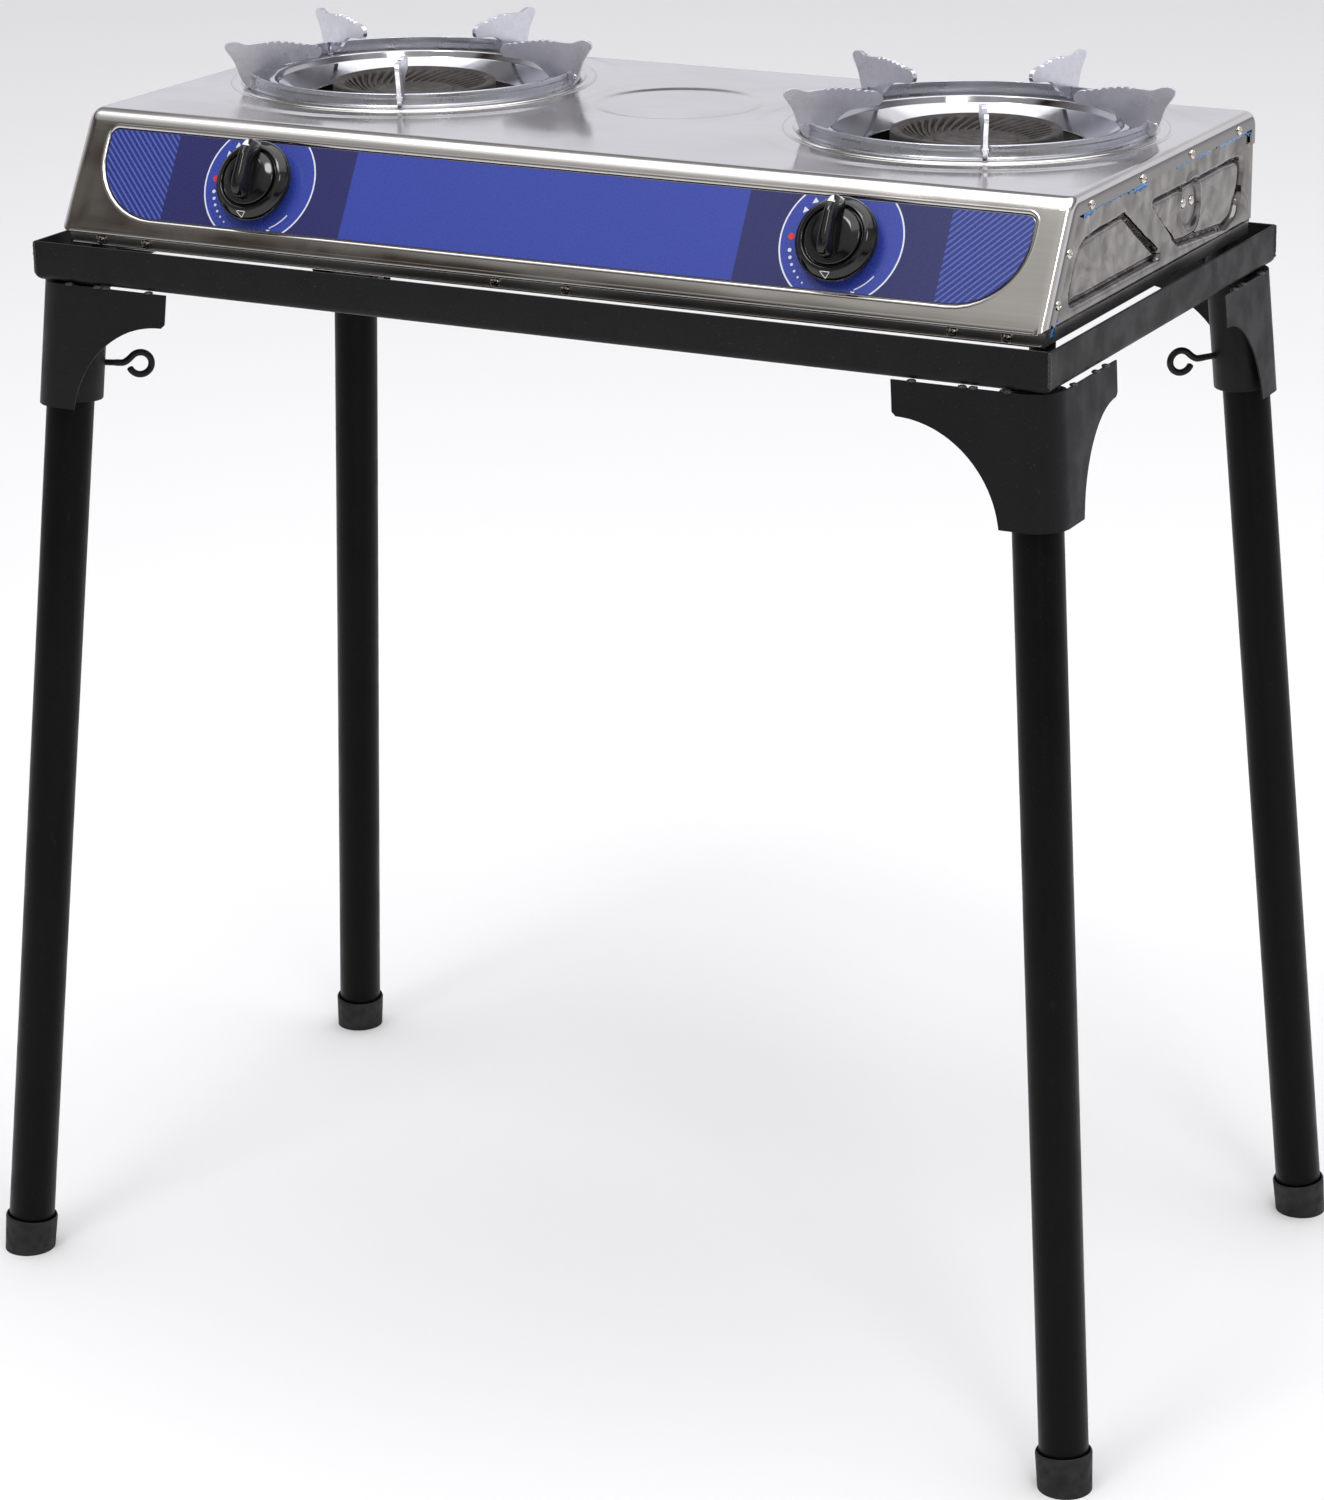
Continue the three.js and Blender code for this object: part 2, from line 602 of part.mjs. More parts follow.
function buildBurner({ name, sx }) {
  const burner = new THREE.Group();
  burner.position.set(sx * BURNER.x, BURNER.y, 0);
  place(burner, `burner_body_${name}`, burnerBodyGeometry(), MATERIAL.iron);
  place(burner, `burner_cap_${name}`, burnerCapGeometry(), MATERIAL.iron);
  place(burner, `drip_pan_${name}`, dripPanGeometry(), MATERIAL.chrome);
  place(burner, `pan_ring_${name}`, panRingGeometry(), MATERIAL.galvanised);
  const igniter = place(burner, `igniter_${name}`, igniterGeometry(), MATERIAL.ceramic);
  igniter.position.set(IGNITER.x, IGNITER.y, 0);
  const finger = fingerGeometry();
  fingerAngles().forEach((angle, k) => {
    place(burner, `finger_${name}_${k + 1}`, finger, MATERIAL.galvanised).rotation.z = angle;
  });
  return burner;
}

function buildControls({ name, sx }) {
  const controls = new THREE.Group();
  controls.position.set(sx * KNOB.x, KNOB.up, 0);
  place(controls, `valve_${name}`, valveGeometry(), MATERIAL.brass);
  place(controls, `valve_stem_${name}`, stemGeometry(), MATERIAL.brass);
  place(controls, `knob_${name}`, knobGeometry(), MATERIAL.glossBlack);
  return controls;
}

function buildStove() {
  const stove = new THREE.Group();
  place(stove, "top_cover", topCoverGeometry(), MATERIAL.stainless);
  place(stove, "base_pan", basePanGeometry(), MATERIAL.panelSteel);
  place(stove, "gas_manifold", manifoldGeometry(), MATERIAL.tube);
  place(FACE, "control_label", controlLabelGeometry(), MATERIAL.label);
  for (const side of SIDES) {
    place(stove, `side_panel_${side.name}`, sidePanelGeometry(side.sx), MATERIAL.panelSteel);
    FACE.add(buildControls(side));
    stove.add(buildBurner(side));
  }
  for (const { name, sx, sy } of CORNERS) {
    const foot = place(stove, `stove_foot_${name}`, stoveFootGeometry(), MATERIAL.rubber);
    foot.position.set(sx * STOVE_FOOT.x, sy * STOVE_FOOT.y, 0);
  }
  stove.add(FACE);
  return stove;
}

const campStove = new THREE.Group();
campStove.add(buildStand(), buildStove());

export default campStove;
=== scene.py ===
"""Looks of a two-burner camp stove lying in its stand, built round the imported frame.

Shapes are worked out in millimetres, in the frame's own axes, and scaled to metres as meshes are made.
"""

import math

import bmesh
import bpy
import numpy as np
from mathutils import Matrix, Vector, noise


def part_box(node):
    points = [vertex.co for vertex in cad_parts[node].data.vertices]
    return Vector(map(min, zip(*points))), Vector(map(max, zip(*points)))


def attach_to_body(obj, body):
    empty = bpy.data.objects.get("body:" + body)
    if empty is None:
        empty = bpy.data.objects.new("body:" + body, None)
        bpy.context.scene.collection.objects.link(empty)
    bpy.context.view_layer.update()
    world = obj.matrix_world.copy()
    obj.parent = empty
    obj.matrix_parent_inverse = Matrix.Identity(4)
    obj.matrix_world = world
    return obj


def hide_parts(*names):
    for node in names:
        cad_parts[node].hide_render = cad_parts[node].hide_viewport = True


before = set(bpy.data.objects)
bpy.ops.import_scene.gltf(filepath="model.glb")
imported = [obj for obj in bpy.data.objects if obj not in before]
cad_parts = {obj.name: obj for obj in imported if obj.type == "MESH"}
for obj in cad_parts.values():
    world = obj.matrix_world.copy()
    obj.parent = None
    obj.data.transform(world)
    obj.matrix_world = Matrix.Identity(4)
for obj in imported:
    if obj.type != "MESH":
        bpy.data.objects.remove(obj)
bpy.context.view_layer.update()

MM = 0.001
TURN = 2 * math.pi
SIDES = {"left": -1, "right": 1}
CORNERS = {"front_left": (-1, -1), "front_right": (1, -1), "rear_left": (-1, 1), "rear_right": (1, 1)}

# ---- sizes ------------------------------------------------------------------------------------


def box_mm(node):
    low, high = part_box(node)
    return low / MM, high / MM


RAIL_LOW, RAIL_HIGH = box_mm("rail_front")
RAIL_HALF_LENGTH = RAIL_HIGH.x
RAIL_HALF_DEPTH = -RAIL_LOW.y
RAIL_LEDGE = RAIL_HIGH.y - RAIL_LOW.y
RAIL_SHEET = 2
RAIL_BEND = 5

LEG_RADIUS, LEG_BORE = 15.75, 14.15
LEG_FOOT = (393.5, 222.6)
LEG_LEAN = (0.0751, 0.0683)
LEAN = math.hypot(*LEG_LEAN)
TILT = math.atan(LEAN)
SOCKET_RADIUS, SOCKET_BORE, SOCKET_INWARD = 20, 17.8, 1.5
SOCKET_BOTTOM, SOCKET_TOP = 614, 691.5
BRACKET_RADIUS, BRACKET_SHEET = 21.7, 1.2
BRACKET_TOP, BRACKET_BOTTOM = 693.6, 610.6
EYE_HEIGHT, EYE_WIRE, EYE_RING, EYE_REACH = 637, 2.25, 7.5, 45
LEG_END, LEG_TOP = 5.4, 692.3

COVER_LOW, COVER_HIGH = box_mm("top_cover")
HALF_WIDTH = COVER_HIGH.x
FRONT, REAR = COVER_LOW.y, COVER_HIGH.y
BOTTOM, DECK = COVER_LOW.z, 799.6
SHOULDER = -137.7
SHEET = 1.0
END_ROUND = 6.0
SIDE_LIP, REAR_LIP = 11.8, 22
FACE_LEAN = math.atan((SHOULDER - FRONT) / (DECK - BOTTOM))
FACE_LENGTH = math.hypot(SHOULDER - FRONT, DECK - BOTTOM)
FACE_FOOT = Vector((FRONT, BOTTOM))
FACE_UP = Vector((math.sin(FACE_LEAN), math.cos(FACE_LEAN)))
FACE_BACK = Vector((FACE_UP.y, -FACE_UP.x))

PAN_LOW, PAN_HIGH = box_mm("drip_pan_right")
BURNER_X, BURNER_Y = (PAN_LOW.x + PAN_HIGH.x) / 2, (PAN_LOW.y + PAN_HIGH.y) / 2
KNOB_LOW, KNOB_HIGH = box_mm("knob_right")
KNOB_X, KNOB_UP, KNOB_RADIUS, KNOB_BASE = (KNOB_LOW.x + KNOB_HIGH.x) / 2, 44.5, 27, 4.6
INSERT_RADIUS = 126
DECK_RISE = 0.7

LABEL_HALF, LABEL_LOW, LABEL_HIGH = 328, 14, 72.7
LABEL_TOP_ROUND, LABEL_BOTTOM_ROUND = 5, 45
LABEL_DEPTH, FILM_TOP = 1.8, -0.7
INSERT_GROW = 3.6

# ---- shape helpers: a shape is a list of points and a list of faces ---------------------------


def fillet(points, steps=6, closed=True):
    """Rounds an outline's corners. A point is (u, v), or (u, v, radius) where the corner is round."""
    made = []
    for i, point in enumerate(points):
        corner = Vector(point[:2])
        if len(point) == 2 or (not closed and i in (0, len(points) - 1)):
            made.append(tuple(corner))
            continue
        radius = point[2]
        before = (Vector(points[i - 1][:2]) - corner).normalized()
        after = (Vector(points[(i + 1) % len(points)][:2]) - corner).normalized()
        half = before.angle(after) / 2
        centre = corner + (before + after).normalized() * radius / math.sin(half)
        reach = radius / math.tan(half)
        first, last = corner + before * reach - centre, corner + after * reach - centre
        turn = math.copysign(math.pi - 2 * half, first.cross(last))
        for k in range(steps + 1):
            angle = turn * k / steps
            c, s = math.cos(angle), math.sin(angle)
            made.append((centre.x + c * first.x - s * first.y, centre.y + s * first.x + c * first.y))
    return made


def smooth_line(points, steps=6):
    """Catmull-Rom curve through points of any dimension, ends included."""
    p = np.array(points, float)
    p = np.vstack([2 * p[0] - p[1], p, 2 * p[-1] - p[-2]])
    made = []
    for i in range(1, len(p) - 2):
        for t in np.linspace(0, 1, steps, endpoint=False):
            a, b = 2 * p[i], (p[i + 1] - p[i - 1]) * t
            c = (2 * p[i - 1] - 5 * p[i] + 4 * p[i + 1] - p[i + 2]) * t * t
            d = (3 * p[i] - p[i - 1] - 3 * p[i + 1] + p[i + 2]) * t**3
            made.append(tuple((a + b + c + d) / 2))
    return made + [tuple(p[-2])]


def polar(radius, angle, x=0.0, y=0.0):
    """The place at an angle on a circle round (x, y)."""
    return x + radius * math.cos(angle), y + radius * math.sin(angle)


def circle(radius, count):
    return [polar(radius, TURN * k / count) for k in range(count)]


def band(first, second):
    """Faces between two closed rings of point numbers."""
    faces = []
    for a, b, c, d in zip(first, [*first[1:], first[0]], [*second[1:], second[0]], second):
        face = list(dict.fromkeys((a, b, c, d)))
        if len(face) > 2:
            faces.append(face)
    return faces


def revolve(profile, segments=96, shift=None):
    """Turns an outline of (radius, height) points about Z. shift(radius, angle, height) lifts a point."""
    verts, rings = [], []
    for radius, height in profile:
        count = 1 if radius < 1e-6 else segments
        rings.append([len(verts) + k % count for k in range(segments)])
        for k in range(count):
            angle = TURN * k / segments
            rise = shift(radius, angle, height) if shift else 0
            verts.append((*polar(radius, angle), height + rise))
    if profile[0][0] > 1e-6 or profile[-1][0] > 1e-6:
        rings.append(rings[0])
    return verts, [face for a, b in zip(rings, rings[1:]) for face in band(a, b)]


def sweep(path, radius, sides=24, round_ends=True):
    """A round bar along a path. radius is a number, or a function of (distance, angle)."""
    points = [Vector(p) for p in path]
    tangents = [(b - a).normalized() for a, b in zip(points, points[1:])]
    tangents.append(tangents[-1])
    tangents = [tangents[0]] + [(a + b).normalized() for a, b in zip(tangents, tangents[1:])]
    size = radius if callable(radius) else lambda distance, angle: radius
    stations = [(p, t, 1.0) for p, t in zip(points, tangents)]
    if round_ends:
        caps = [(0.42, 0.35), (0.27, 0.7), (0.12, 0.92)]
        ahead = [tangents[k] * size(0, 0) for k in (0, -1)]
        first = [(points[0] - ahead[0] * out, tangents[0], s) for out, s in caps]
        last = [(points[-1] + ahead[1] * out, tangents[-1], s) for out, s in caps[::-1]]
        stations = first + stations + last
    normal = tangents[0].orthogonal().normalized()
    verts, distance, previous = [], 0.0, stations[0]
    for point, tangent, scale in stations:
        distance += (point - previous[0]).length
        normal = (previous[1].rotation_difference(tangent) @ normal).normalized()
        across = tangent.cross(normal)
        for k in range(sides):
            angle = TURN * k / sides
            out = size(distance, angle) * scale
            verts.append(point + (normal * math.cos(angle) + across * math.sin(angle)) * out)
        previous = (point, tangent)
    rings = [range(k, k + sides) for k in range(0, len(verts), sides)]
    faces = [list(rings[0])[::-1], list(rings[-1])]
    return verts, faces + [face for a, b in zip(rings, rings[1:]) for face in band(a, b)]


def prism(outline, low, high):
    """An outline in X and Y, pulled from low to high along Z."""
    n = len(outline)
    verts = [(u, v, z) for z in (low, high) for u, v in outline]
    foot, head = range(n), range(n, 2 * n)
    return verts, [list(foot)[::-1], list(head)] + band(foot, head)


def shell(outer, inner):
    """A closed sheet between two equal grids of points."""
    outer, inner = np.asarray(outer, float), np.asarray(inner, float)
    rows, cols = outer.shape[:2]
    grid = np.arange(rows * cols).reshape(rows, cols)
    corners = (grid[:-1, :-1], grid[:-1, 1:], grid[1:, 1:], grid[1:, :-1])
    quads = np.stack([c.ravel() for c in corners], axis=1)
    rim = [*grid[0], *grid[1:, -1], *grid[-1, -2::-1], *grid[-2:0:-1, 0]]
    back = rows * cols
    faces = [tuple(int(i) for i in q) for q in quads]
    faces += [tuple(int(i) + back for i in q[::-1]) for q in quads]
    faces += [(int(b), int(a), int(a) + back, int(b) + back) for a, b in zip(rim, rim[1:] + rim[:1])]
    return [*map(tuple, outer.reshape(-1, 3)), *map(tuple, inner.reshape(-1, 3))], faces


def blob(radii, centre, seed, roughness=0.25):
    """A lump of weld: a ball with uneven radii, moved by noise."""
    ball = bmesh.new()
    bmesh.ops.create_icosphere(ball, subdivisions=3, radius=1)
    verts = []
    for v in ball.verts:
        swell = 1 + roughness * noise.noise(v.co * 2.1 + Vector((seed, 0, 0)))
        verts.append(tuple(centre[k] + v.co[k] * radii[k] * swell for k in range(3)))
    faces = [[v.index for v in f.verts] for f in ball.faces]
    ball.free()
    return verts, faces


def moved(shape, matrix):
    return [tuple(matrix @ Vector(v)) for v in shape[0]], shape[1]


def merged(*shapes):
    verts, faces = [], []
    for points, polygons in shapes:
        start = len(verts)
        verts += points
        faces += [[i + start for i in polygon] for polygon in polygons]
    return verts, faces


def smooth_step(value, low, high):
    t = np.clip((value - low) / (high - low), 0, 1)
    return t * t * (3 - 2 * t)


def ripple(x, y, size, seed=0.0):
    """Slow uneven waves of sheet metal, from -1 to 1."""
    return noise.noise(Vector((x / size, y / size, seed))) * 1.4


def piece(name, shape, material, placing=None, sharp=38):
    """A new object. Faces that meet at more than sharp degrees keep a crisp edge."""
    mesh = bpy.data.meshes.new(name)
    mesh.from_pydata([tuple(v) for v in shape[0]], [], shape[1])
    mesh.transform(Matrix.Scale(MM, 4) @ (placing or Matrix()))
    work = bmesh.new()
    work.from_mesh(mesh)
    bmesh.ops.recalc_face_normals(work, faces=work.faces)
    work.to_mesh(mesh)
    work.free()
    mesh.shade_smooth()
    if sharp:
        mesh.set_sharp_from_angle(angle=math.radians(sharp))
    for one in material if isinstance(material, list) else [material]:
        mesh.materials.append(one)
    made = bpy.data.objects.new(name, mesh)
    bpy.context.scene.collection.objects.link(made)
    return made


def soften(made, width, segments=2, angle=40):
    """Rounds the crisp edges of a piece by width millimetres."""
    bevel = made.modifiers.new("edges", "BEVEL")
    bevel.width = width * MM
    bevel.segments = segments
    bevel.limit_method = "ANGLE"
    bevel.angle_limit = math.radians(angle)
    bevel.harden_normals = True
    return made


def cut_away(made, *shapes, joined=False):
    """Cuts shapes out of a piece and keeps the result; joined also welds its own overlaps."""
    for k, shape in enumerate(shapes):
        tool = piece(f"tool{k}", shape, bpy.data.materials[0])
        work = made.modifiers.new("cut", "BOOLEAN")
        work.operation, work.solver, work.object = "DIFFERENCE", "EXACT", tool
        work.use_self = joined
        bpy.context.view_layer.update()
        final = made.evaluated_get(bpy.context.evaluated_depsgraph_get())
        result = bpy.data.meshes.new_from_object(final)
        made.modifiers.remove(work)
        made.data = result
        bpy.data.objects.remove(tool)
    return made


def attach(made, body, slot, *nodes):
    """The piece rides on a body and stands for the CAD nodes named, which are hidden; slot is not used."""
    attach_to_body(made, body)
    if nodes:
        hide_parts(*nodes)
    return made


def add(name, shape, material, body, slot, *nodes, placing=None, sharp=38):
    """A new piece that rides on a body and stands for the CAD nodes named; slot is not used."""
    return attach(piece(name, shape, material, placing, sharp), body, slot, *nodes)


def at(x, y, z=0.0):
    return Matrix.Translation((x, y, z))


# ---- materials --------------------------------------------------------------------------------


def add_node(tree, kind, settings=None, **inputs):
    """A node with its settings, and its inputs linked or set. An input is a name, or i and a number."""
    made = tree.nodes.new(kind)
    for key, value in (settings or {}).items():
        setattr(made, key, value)
    for key, value in inputs.items():
        socket = made.inputs[int(key[1:]) if key[0] == "i" and key[1:].isdigit() else key]
        if isinstance(value, bpy.types.NodeSocket):
            tree.links.new(value, socket)
        else:
            socket.default_value = value
    return made


def add_mix(tree, factor, first, second):
    settings = {"data_type": "RGBA"}
    return add_node(tree, "ShaderNodeMix", settings, i0=factor, i6=first, i7=second).outputs[2]


class Finish:
    """A node material under construction. Patterns lie in metres in the piece's own space."""

    def __init__(self, name, colour, metallic=0.0, roughness=0.5, **sockets):
        self.material = bpy.data.materials.new(name)
        self.material.use_nodes = True
        self.tree = self.material.node_tree
        self.shader = self.tree.nodes["Principled BSDF"]
        self.colour = (*colour, 1)
        self.shader.inputs["Base Color"].default_value = self.colour
        self.shader.inputs["Metallic"].default_value = metallic
        self.shader.inputs["Roughness"].default_value = roughness
        for socket, value in sockets.items():
            self.shader.inputs[socket.replace("_", " ")].default_value = value
        self.space = self.node("ShaderNodeTexCoord", "Object")
        self.height = None

    def node(self, kind, output=0, settings=None, **inputs):
        return add_node(self.tree, kind, settings, **inputs).outputs[output]

    def stretched(self, x, y, z):
        return self.node("ShaderNodeMapping", Vector=self.space, Scale=(x, y, z))

    def noise(self, scale, detail=2.0, space=None, distortion=0.0):
        inputs = {"Vector": space or self.space, "Scale": scale, "Detail": detail}
        return self.node("ShaderNodeTexNoise", "Fac", Distortion=distortion, **inputs)

    def spread(self, value, low, high, start=0.3, end=0.7):
        """Maps a pattern from start..end to low..high."""
        inputs = {"From Min": start, "From Max": end, "To Min": low, "To Max": high}
        settings = {"interpolation_type": "SMOOTHSTEP"}
        return self.node("ShaderNodeMapRange", 0, settings, Value=value, **inputs)

    def pattern(self, scale, detail, low, high, *window):
        return self.spread(self.noise(scale, detail), low, high, *window)

    def tone(self, factor, colour):
        """Blends the base colour towards another by a pattern."""
        now = self.shader.inputs["Base Color"]
        first = now.links[0].from_socket if now.links else self.colour
        self.tree.links.new(add_mix(self.tree, factor, first, (*colour, 1)), now)

    def rough(self, value):
        self.tree.links.new(value, self.shader.inputs["Roughness"])

    def bump(self, height, depth, strength=1.0):
        """Raises the surface by a pattern, depth in millimetres, over any bump laid before."""
        inputs = {"Height": height, "Distance": depth * MM, "Strength": strength}
        if self.height:
            inputs["Normal"] = self.height
        self.height = self.node("ShaderNodeBump", **inputs)
        self.tree.links.new(self.height, self.shader.inputs["Normal"])

    def pointiness(self):
        return self.node("ShaderNodeNewGeometry", "Pointiness")


def dimmed(colour, by, lift=0.0):
    return [c * by + lift for c in colour]


def patterned(name, colour, metallic, roughness, tone, towards, rough, *bumps, **sockets):
    """A finish with a colour pattern, a gloss pattern and bumps, each a noise and then its range."""
    made = Finish(name, colour, metallic, roughness, **sockets)
    made.tone(made.pattern(*tone), towards)
    made.rough(made.pattern(*rough))
    for scale, detail, depth, strength in bumps:
        made.bump(made.noise(scale, detail), depth, strength)
    return made


def black_paint(name, colour, low, high, fleck=0.5, shine=0.17):
    """Thin black powder coat: orange peel, pale dust specks and rubbed edges."""
    made = patterned(name, colour, 0.0, low, (9, 4, 0, 0.5), dimmed(colour, 1.5, 0.001),
                     (45, 5, low, high), (1100, 2, 0.03, 0.7), (160, 2, 0.05, 0.35),
                     Specular_IOR_Level=shine)
    made.tone(made.pattern(1300, 1, 0, fleck, 0.70, 0.78), (0.10, 0.09, 0.08))
    scuffs = made.noise(1, 4, made.stretched(30, 240, 60))
    made.tone(made.spread(scuffs, 0, fleck * 0.5, 0.66, 0.78), (0.05, 0.047, 0.045))
    return made.material


def stainless(name, colour, low, high, wave=0.25, grain=0.5, painted_groove_shade=0.0):
    """Stamped stainless sheet with a rolled grain along X and slow ripples; its last argument paints shade
    into the grooves and paints reflections as dark and light pools.
    """
    made = Finish(name, colour, 1.0, low, Anisotropic=0.35)
    along = made.stretched(6, 400, 400)
    made.tone(made.pattern(7, 3, 0, 0.35), dimmed(colour, 0.82))
    made.tone(made.spread(made.noise(1, 2, along), 0, 0.22), dimmed(colour, 0.78))
    made.rough(made.pattern(14, 4, low, high))
    made.bump(made.noise(1, 3, along), 0.004, grain)
    made.bump(made.noise(24, 2), wave, 0.12)
    if painted_groove_shade:
        # painted shade: concave grooves, found by pointiness, are darkened towards near black
        painted_shade_mask = made.spread(made.pointiness(), painted_groove_shade, 0, 0.468, 0.497)
        made.tone(painted_shade_mask, (0.012, 0.009, 0.008))
        # painted reflections: slow dark and light pools of the sheet's own colour
        for size, curl, amount, start, end, by in (
            (26, 1.6, 0.42, 0.47, 0.60, 0.45), (34, 2.2, 0.3, 0.54, 0.62, 1.7),
        ):
            painted_reflection_pools = made.noise(size, 1, None, curl)
            made.tone(made.spread(painted_reflection_pools, 0, amount, start, end), dimmed(colour, by))
    return made.material


def chrome(name, colour):
    return patterned(name, colour, 1.0, 0.07, (60, 4, 0, 0.25), dimmed(colour, 0.75),
                     (90, 4, 0.05, 0.17), (35, 2, 0.12, 0.12)).material


def galvanised(name, colour, low, high):
    """Zinc plate: a faint spangle, cloudy bright patches and a fine sparkle."""
    made = Finish(name, colour, 1.0, low)
    cells = made.node("ShaderNodeTexVoronoi", "Color", Vector=made.space, Scale=260)
    spangle = made.node("ShaderNodeSeparateColor", Color=cells)
    made.tone(made.spread(spangle, 0, 0.14, 0, 1), dimmed(colour, 0.6))
    made.tone(made.pattern(1800, 2, 0, 0.35, 0.5, 0.7), dimmed(colour, 0.6))
    made.rough(made.pattern(38, 4, low, high))
    made.bump(made.noise(1500, 2), 0.008, 0.6)
    made.bump(made.noise(90, 2), 0.04, 0.2)
    return made.material


def cast_iron(name, colour):
    """Rough brown-black casting, rubbed brighter where its edges turn sharply outward."""
    made = patterned(name, colour, 0.15, 0.6, (60, 5, 0, 0.6), dimmed(colour, 1.8),
                     (120, 4, 0.42, 0.72), (850, 4, 0.12, 0.8), (210, 3, 0.12, 0.4))
    made.tone(made.pattern(700, 2, 0, 0.5, 0.5, 0.75), (0.05, 0.04, 0.034))
    edge = made.spread(made.pointiness(), 0, 0.5, 0.53, 0.6)
    broken = made.pattern(300, 2, 0, 1, 0.42, 0.62)
    worn = made.node("ShaderNodeMath", 0, {"operation": "MULTIPLY"}, i0=edge, i1=broken)
    made.tone(worn, (0.11, 0.095, 0.085))
    return made.material


def rubber(name, colour):
    return patterned(name, colour, 0.0, 0.7, (40, 5, 0, 0.7), dimmed(colour, 2.2, 0.006),
                     (150, 4, 0.55, 0.8), (1500, 2, 0.04, 0.8), Specular_IOR_Level=0.35).material


def gloss_plastic(name, colour):
    """Moulded gloss plastic with faint swirl marks and dust."""
    return patterned(name, colour, 0.0, 0.1, (2200, 1, 0, 0.35, 0.72, 0.8), (0.12, 0.12, 0.12),
                     (120, 5, 0.05, 0.11), (120, 2, 0.02, 0.08), Specular_IOR_Level=0.5).material


def brass(name, colour):
    return patterned(name, colour, 1.0, 0.3, (120, 4, 0, 0.4), dimmed(colour, 0.55),
                     (300, 3, 0.22, 0.42), (900, 2, 0.02, 0.5)).material


def print_ink(name, colour):
    """Ink under a clear film, very slightly uneven."""
    return patterned(name, colour, 0.0, 0.265, (1600, 2, 0, 0.12), dimmed(colour, 1.25, 0.004),
                     (500, 2, 0.265, 0.285), (900, 1, 0.004, 0.3),
                     Coat_Weight=0.35, Coat_Roughness=0.12).material


def ceramic(name, colour):
    return patterned(name, colour, 0.0, 0.25, (200, 4, 0, 0.5), dimmed(colour, 0.75),
                     (90, 3, 0.2, 0.4), (600, 2, 0.03, 0.4)).material


STAND_PAINT = black_paint("stand_paint", (0.0055, 0.0052, 0.0060), 0.38, 0.54)
LEG_PAINT = black_paint("leg_paint", (0.0025, 0.0022, 0.0022), 0.3, 0.42, 0.25, 0.09)
SCREW_PAINT = black_paint("screw_paint", (0.010, 0.010, 0.010), 0.2, 0.36, 0.8)
WELD = black_paint("weld_paint", (0.026, 0.026, 0.028), 0.2, 0.4, 0.9, 0.4)
CAP_RUBBER = rubber("cap_rubber", (0.0085, 0.0085, 0.0085))
FOOT_RUBBER = rubber("foot_rubber", (0.010, 0.010, 0.010))
COVER_STEEL = stainless("cover_steel", (0.66, 0.645, 0.62), 0.09, 0.2, 0.25, 0.3)
# a darker copy of the cover's steel for the cover's outer side faces: painted shade
LIP_SHADED_STEEL = stainless("lip_steel", (0.25, 0.24, 0.23), 0.07, 0.15, 0.35, 0.2)
# side panels: the cover's steel made far darker, painted shade standing in for the dimmer reflection on
# sideways faces; 0.9 sets painted shade in the grooves and painted reflection pools
PANEL_SHADED_STEEL = stainless("panel_steel", (0.24, 0.225, 0.215), 0.03, 0.08, 0.3, 0.1, 0.9)
PAN_STEEL = stainless("pan_steel", (0.60, 0.59, 0.57), 0.28, 0.42)
SCREW_STEEL = chrome("screw_steel", (0.66, 0.62, 0.55))
TUBE_STEEL = stainless("tube_steel", (0.45, 0.46, 0.47), 0.25, 0.4)
CHROME = chrome("pan_chrome", (0.44, 0.44, 0.465))
ZINC = galvanised("support_zinc", (0.80, 0.80, 0.88), 0.24, 0.42)
# a darker copy of the support zinc for the ring band: painted shade standing in for a dimmer reflection
RING_SHADED_ZINC = galvanised("ring_zinc", (0.50, 0.51, 0.56), 0.2, 0.36)
IRON = cast_iron("burner_iron", (0.022, 0.0175, 0.0155))
KNOB_PLASTIC = gloss_plastic("knob_plastic", (0.0045, 0.0045, 0.0045))
KNOB_MARK = gloss_plastic("knob_mark", (0.75, 0.75, 0.75))
BRASS = brass("valve_metal", (0.60, 0.43, 0.18))
CERAMIC = ceramic("igniter_ceramic", (0.80, 0.77, 0.70))
FILM = print_ink("film_blue", (0.012, 0.20, 0.60))
INKS = [print_ink(f"ink_{name}", colour) for name, colour in (
    ("dark", (0.020, 0.022, 0.115)), ("royal", (0.034, 0.056, 0.330)), ("stripe", (0.085, 0.115, 0.420)),
    ("striped_ground", (0.018, 0.032, 0.190)), ("white", (0.72, 0.74, 0.82)), ("red", (0.62, 0.04, 0.03)),
)]

# ---- stand ------------------------------------------------------------------------------------


def rail_shape(half_length, half_depth):
    """A mitred angle rail along X, its outer face at y = -half_depth."""
    low, high, ledge, sheet = RAIL_LOW.z, RAIL_HIGH.z, RAIL_LEDGE, RAIL_SHEET
    section = fillet([
        (0, high), (0, low, RAIL_BEND), (ledge, low), (ledge, low + sheet),
        (sheet, low + sheet, RAIL_BEND - sheet), (sheet, high),
    ])
    verts, faces = prism(section, -1, 1)
    return [(end * (half_length - u), u - half_depth, z) for u, z, end in verts], faces


def build_rails():
    runs = {"front": (0, 1), "right": (90, -1), "rear": (180, 1), "left": (270, -1)}
    for name, (angle, order) in runs.items():
        shape = rail_shape(*(RAIL_HALF_LENGTH, RAIL_HALF_DEPTH)[::order])
        turned = Matrix.Rotation(math.radians(angle), 4, "Z")
        rail = piece(f"angle_rail_{name}", shape, STAND_PAINT, turned, None)
        attach(soften(rail, 0.6), "stand", "stand_paint", f"rail_{name}")


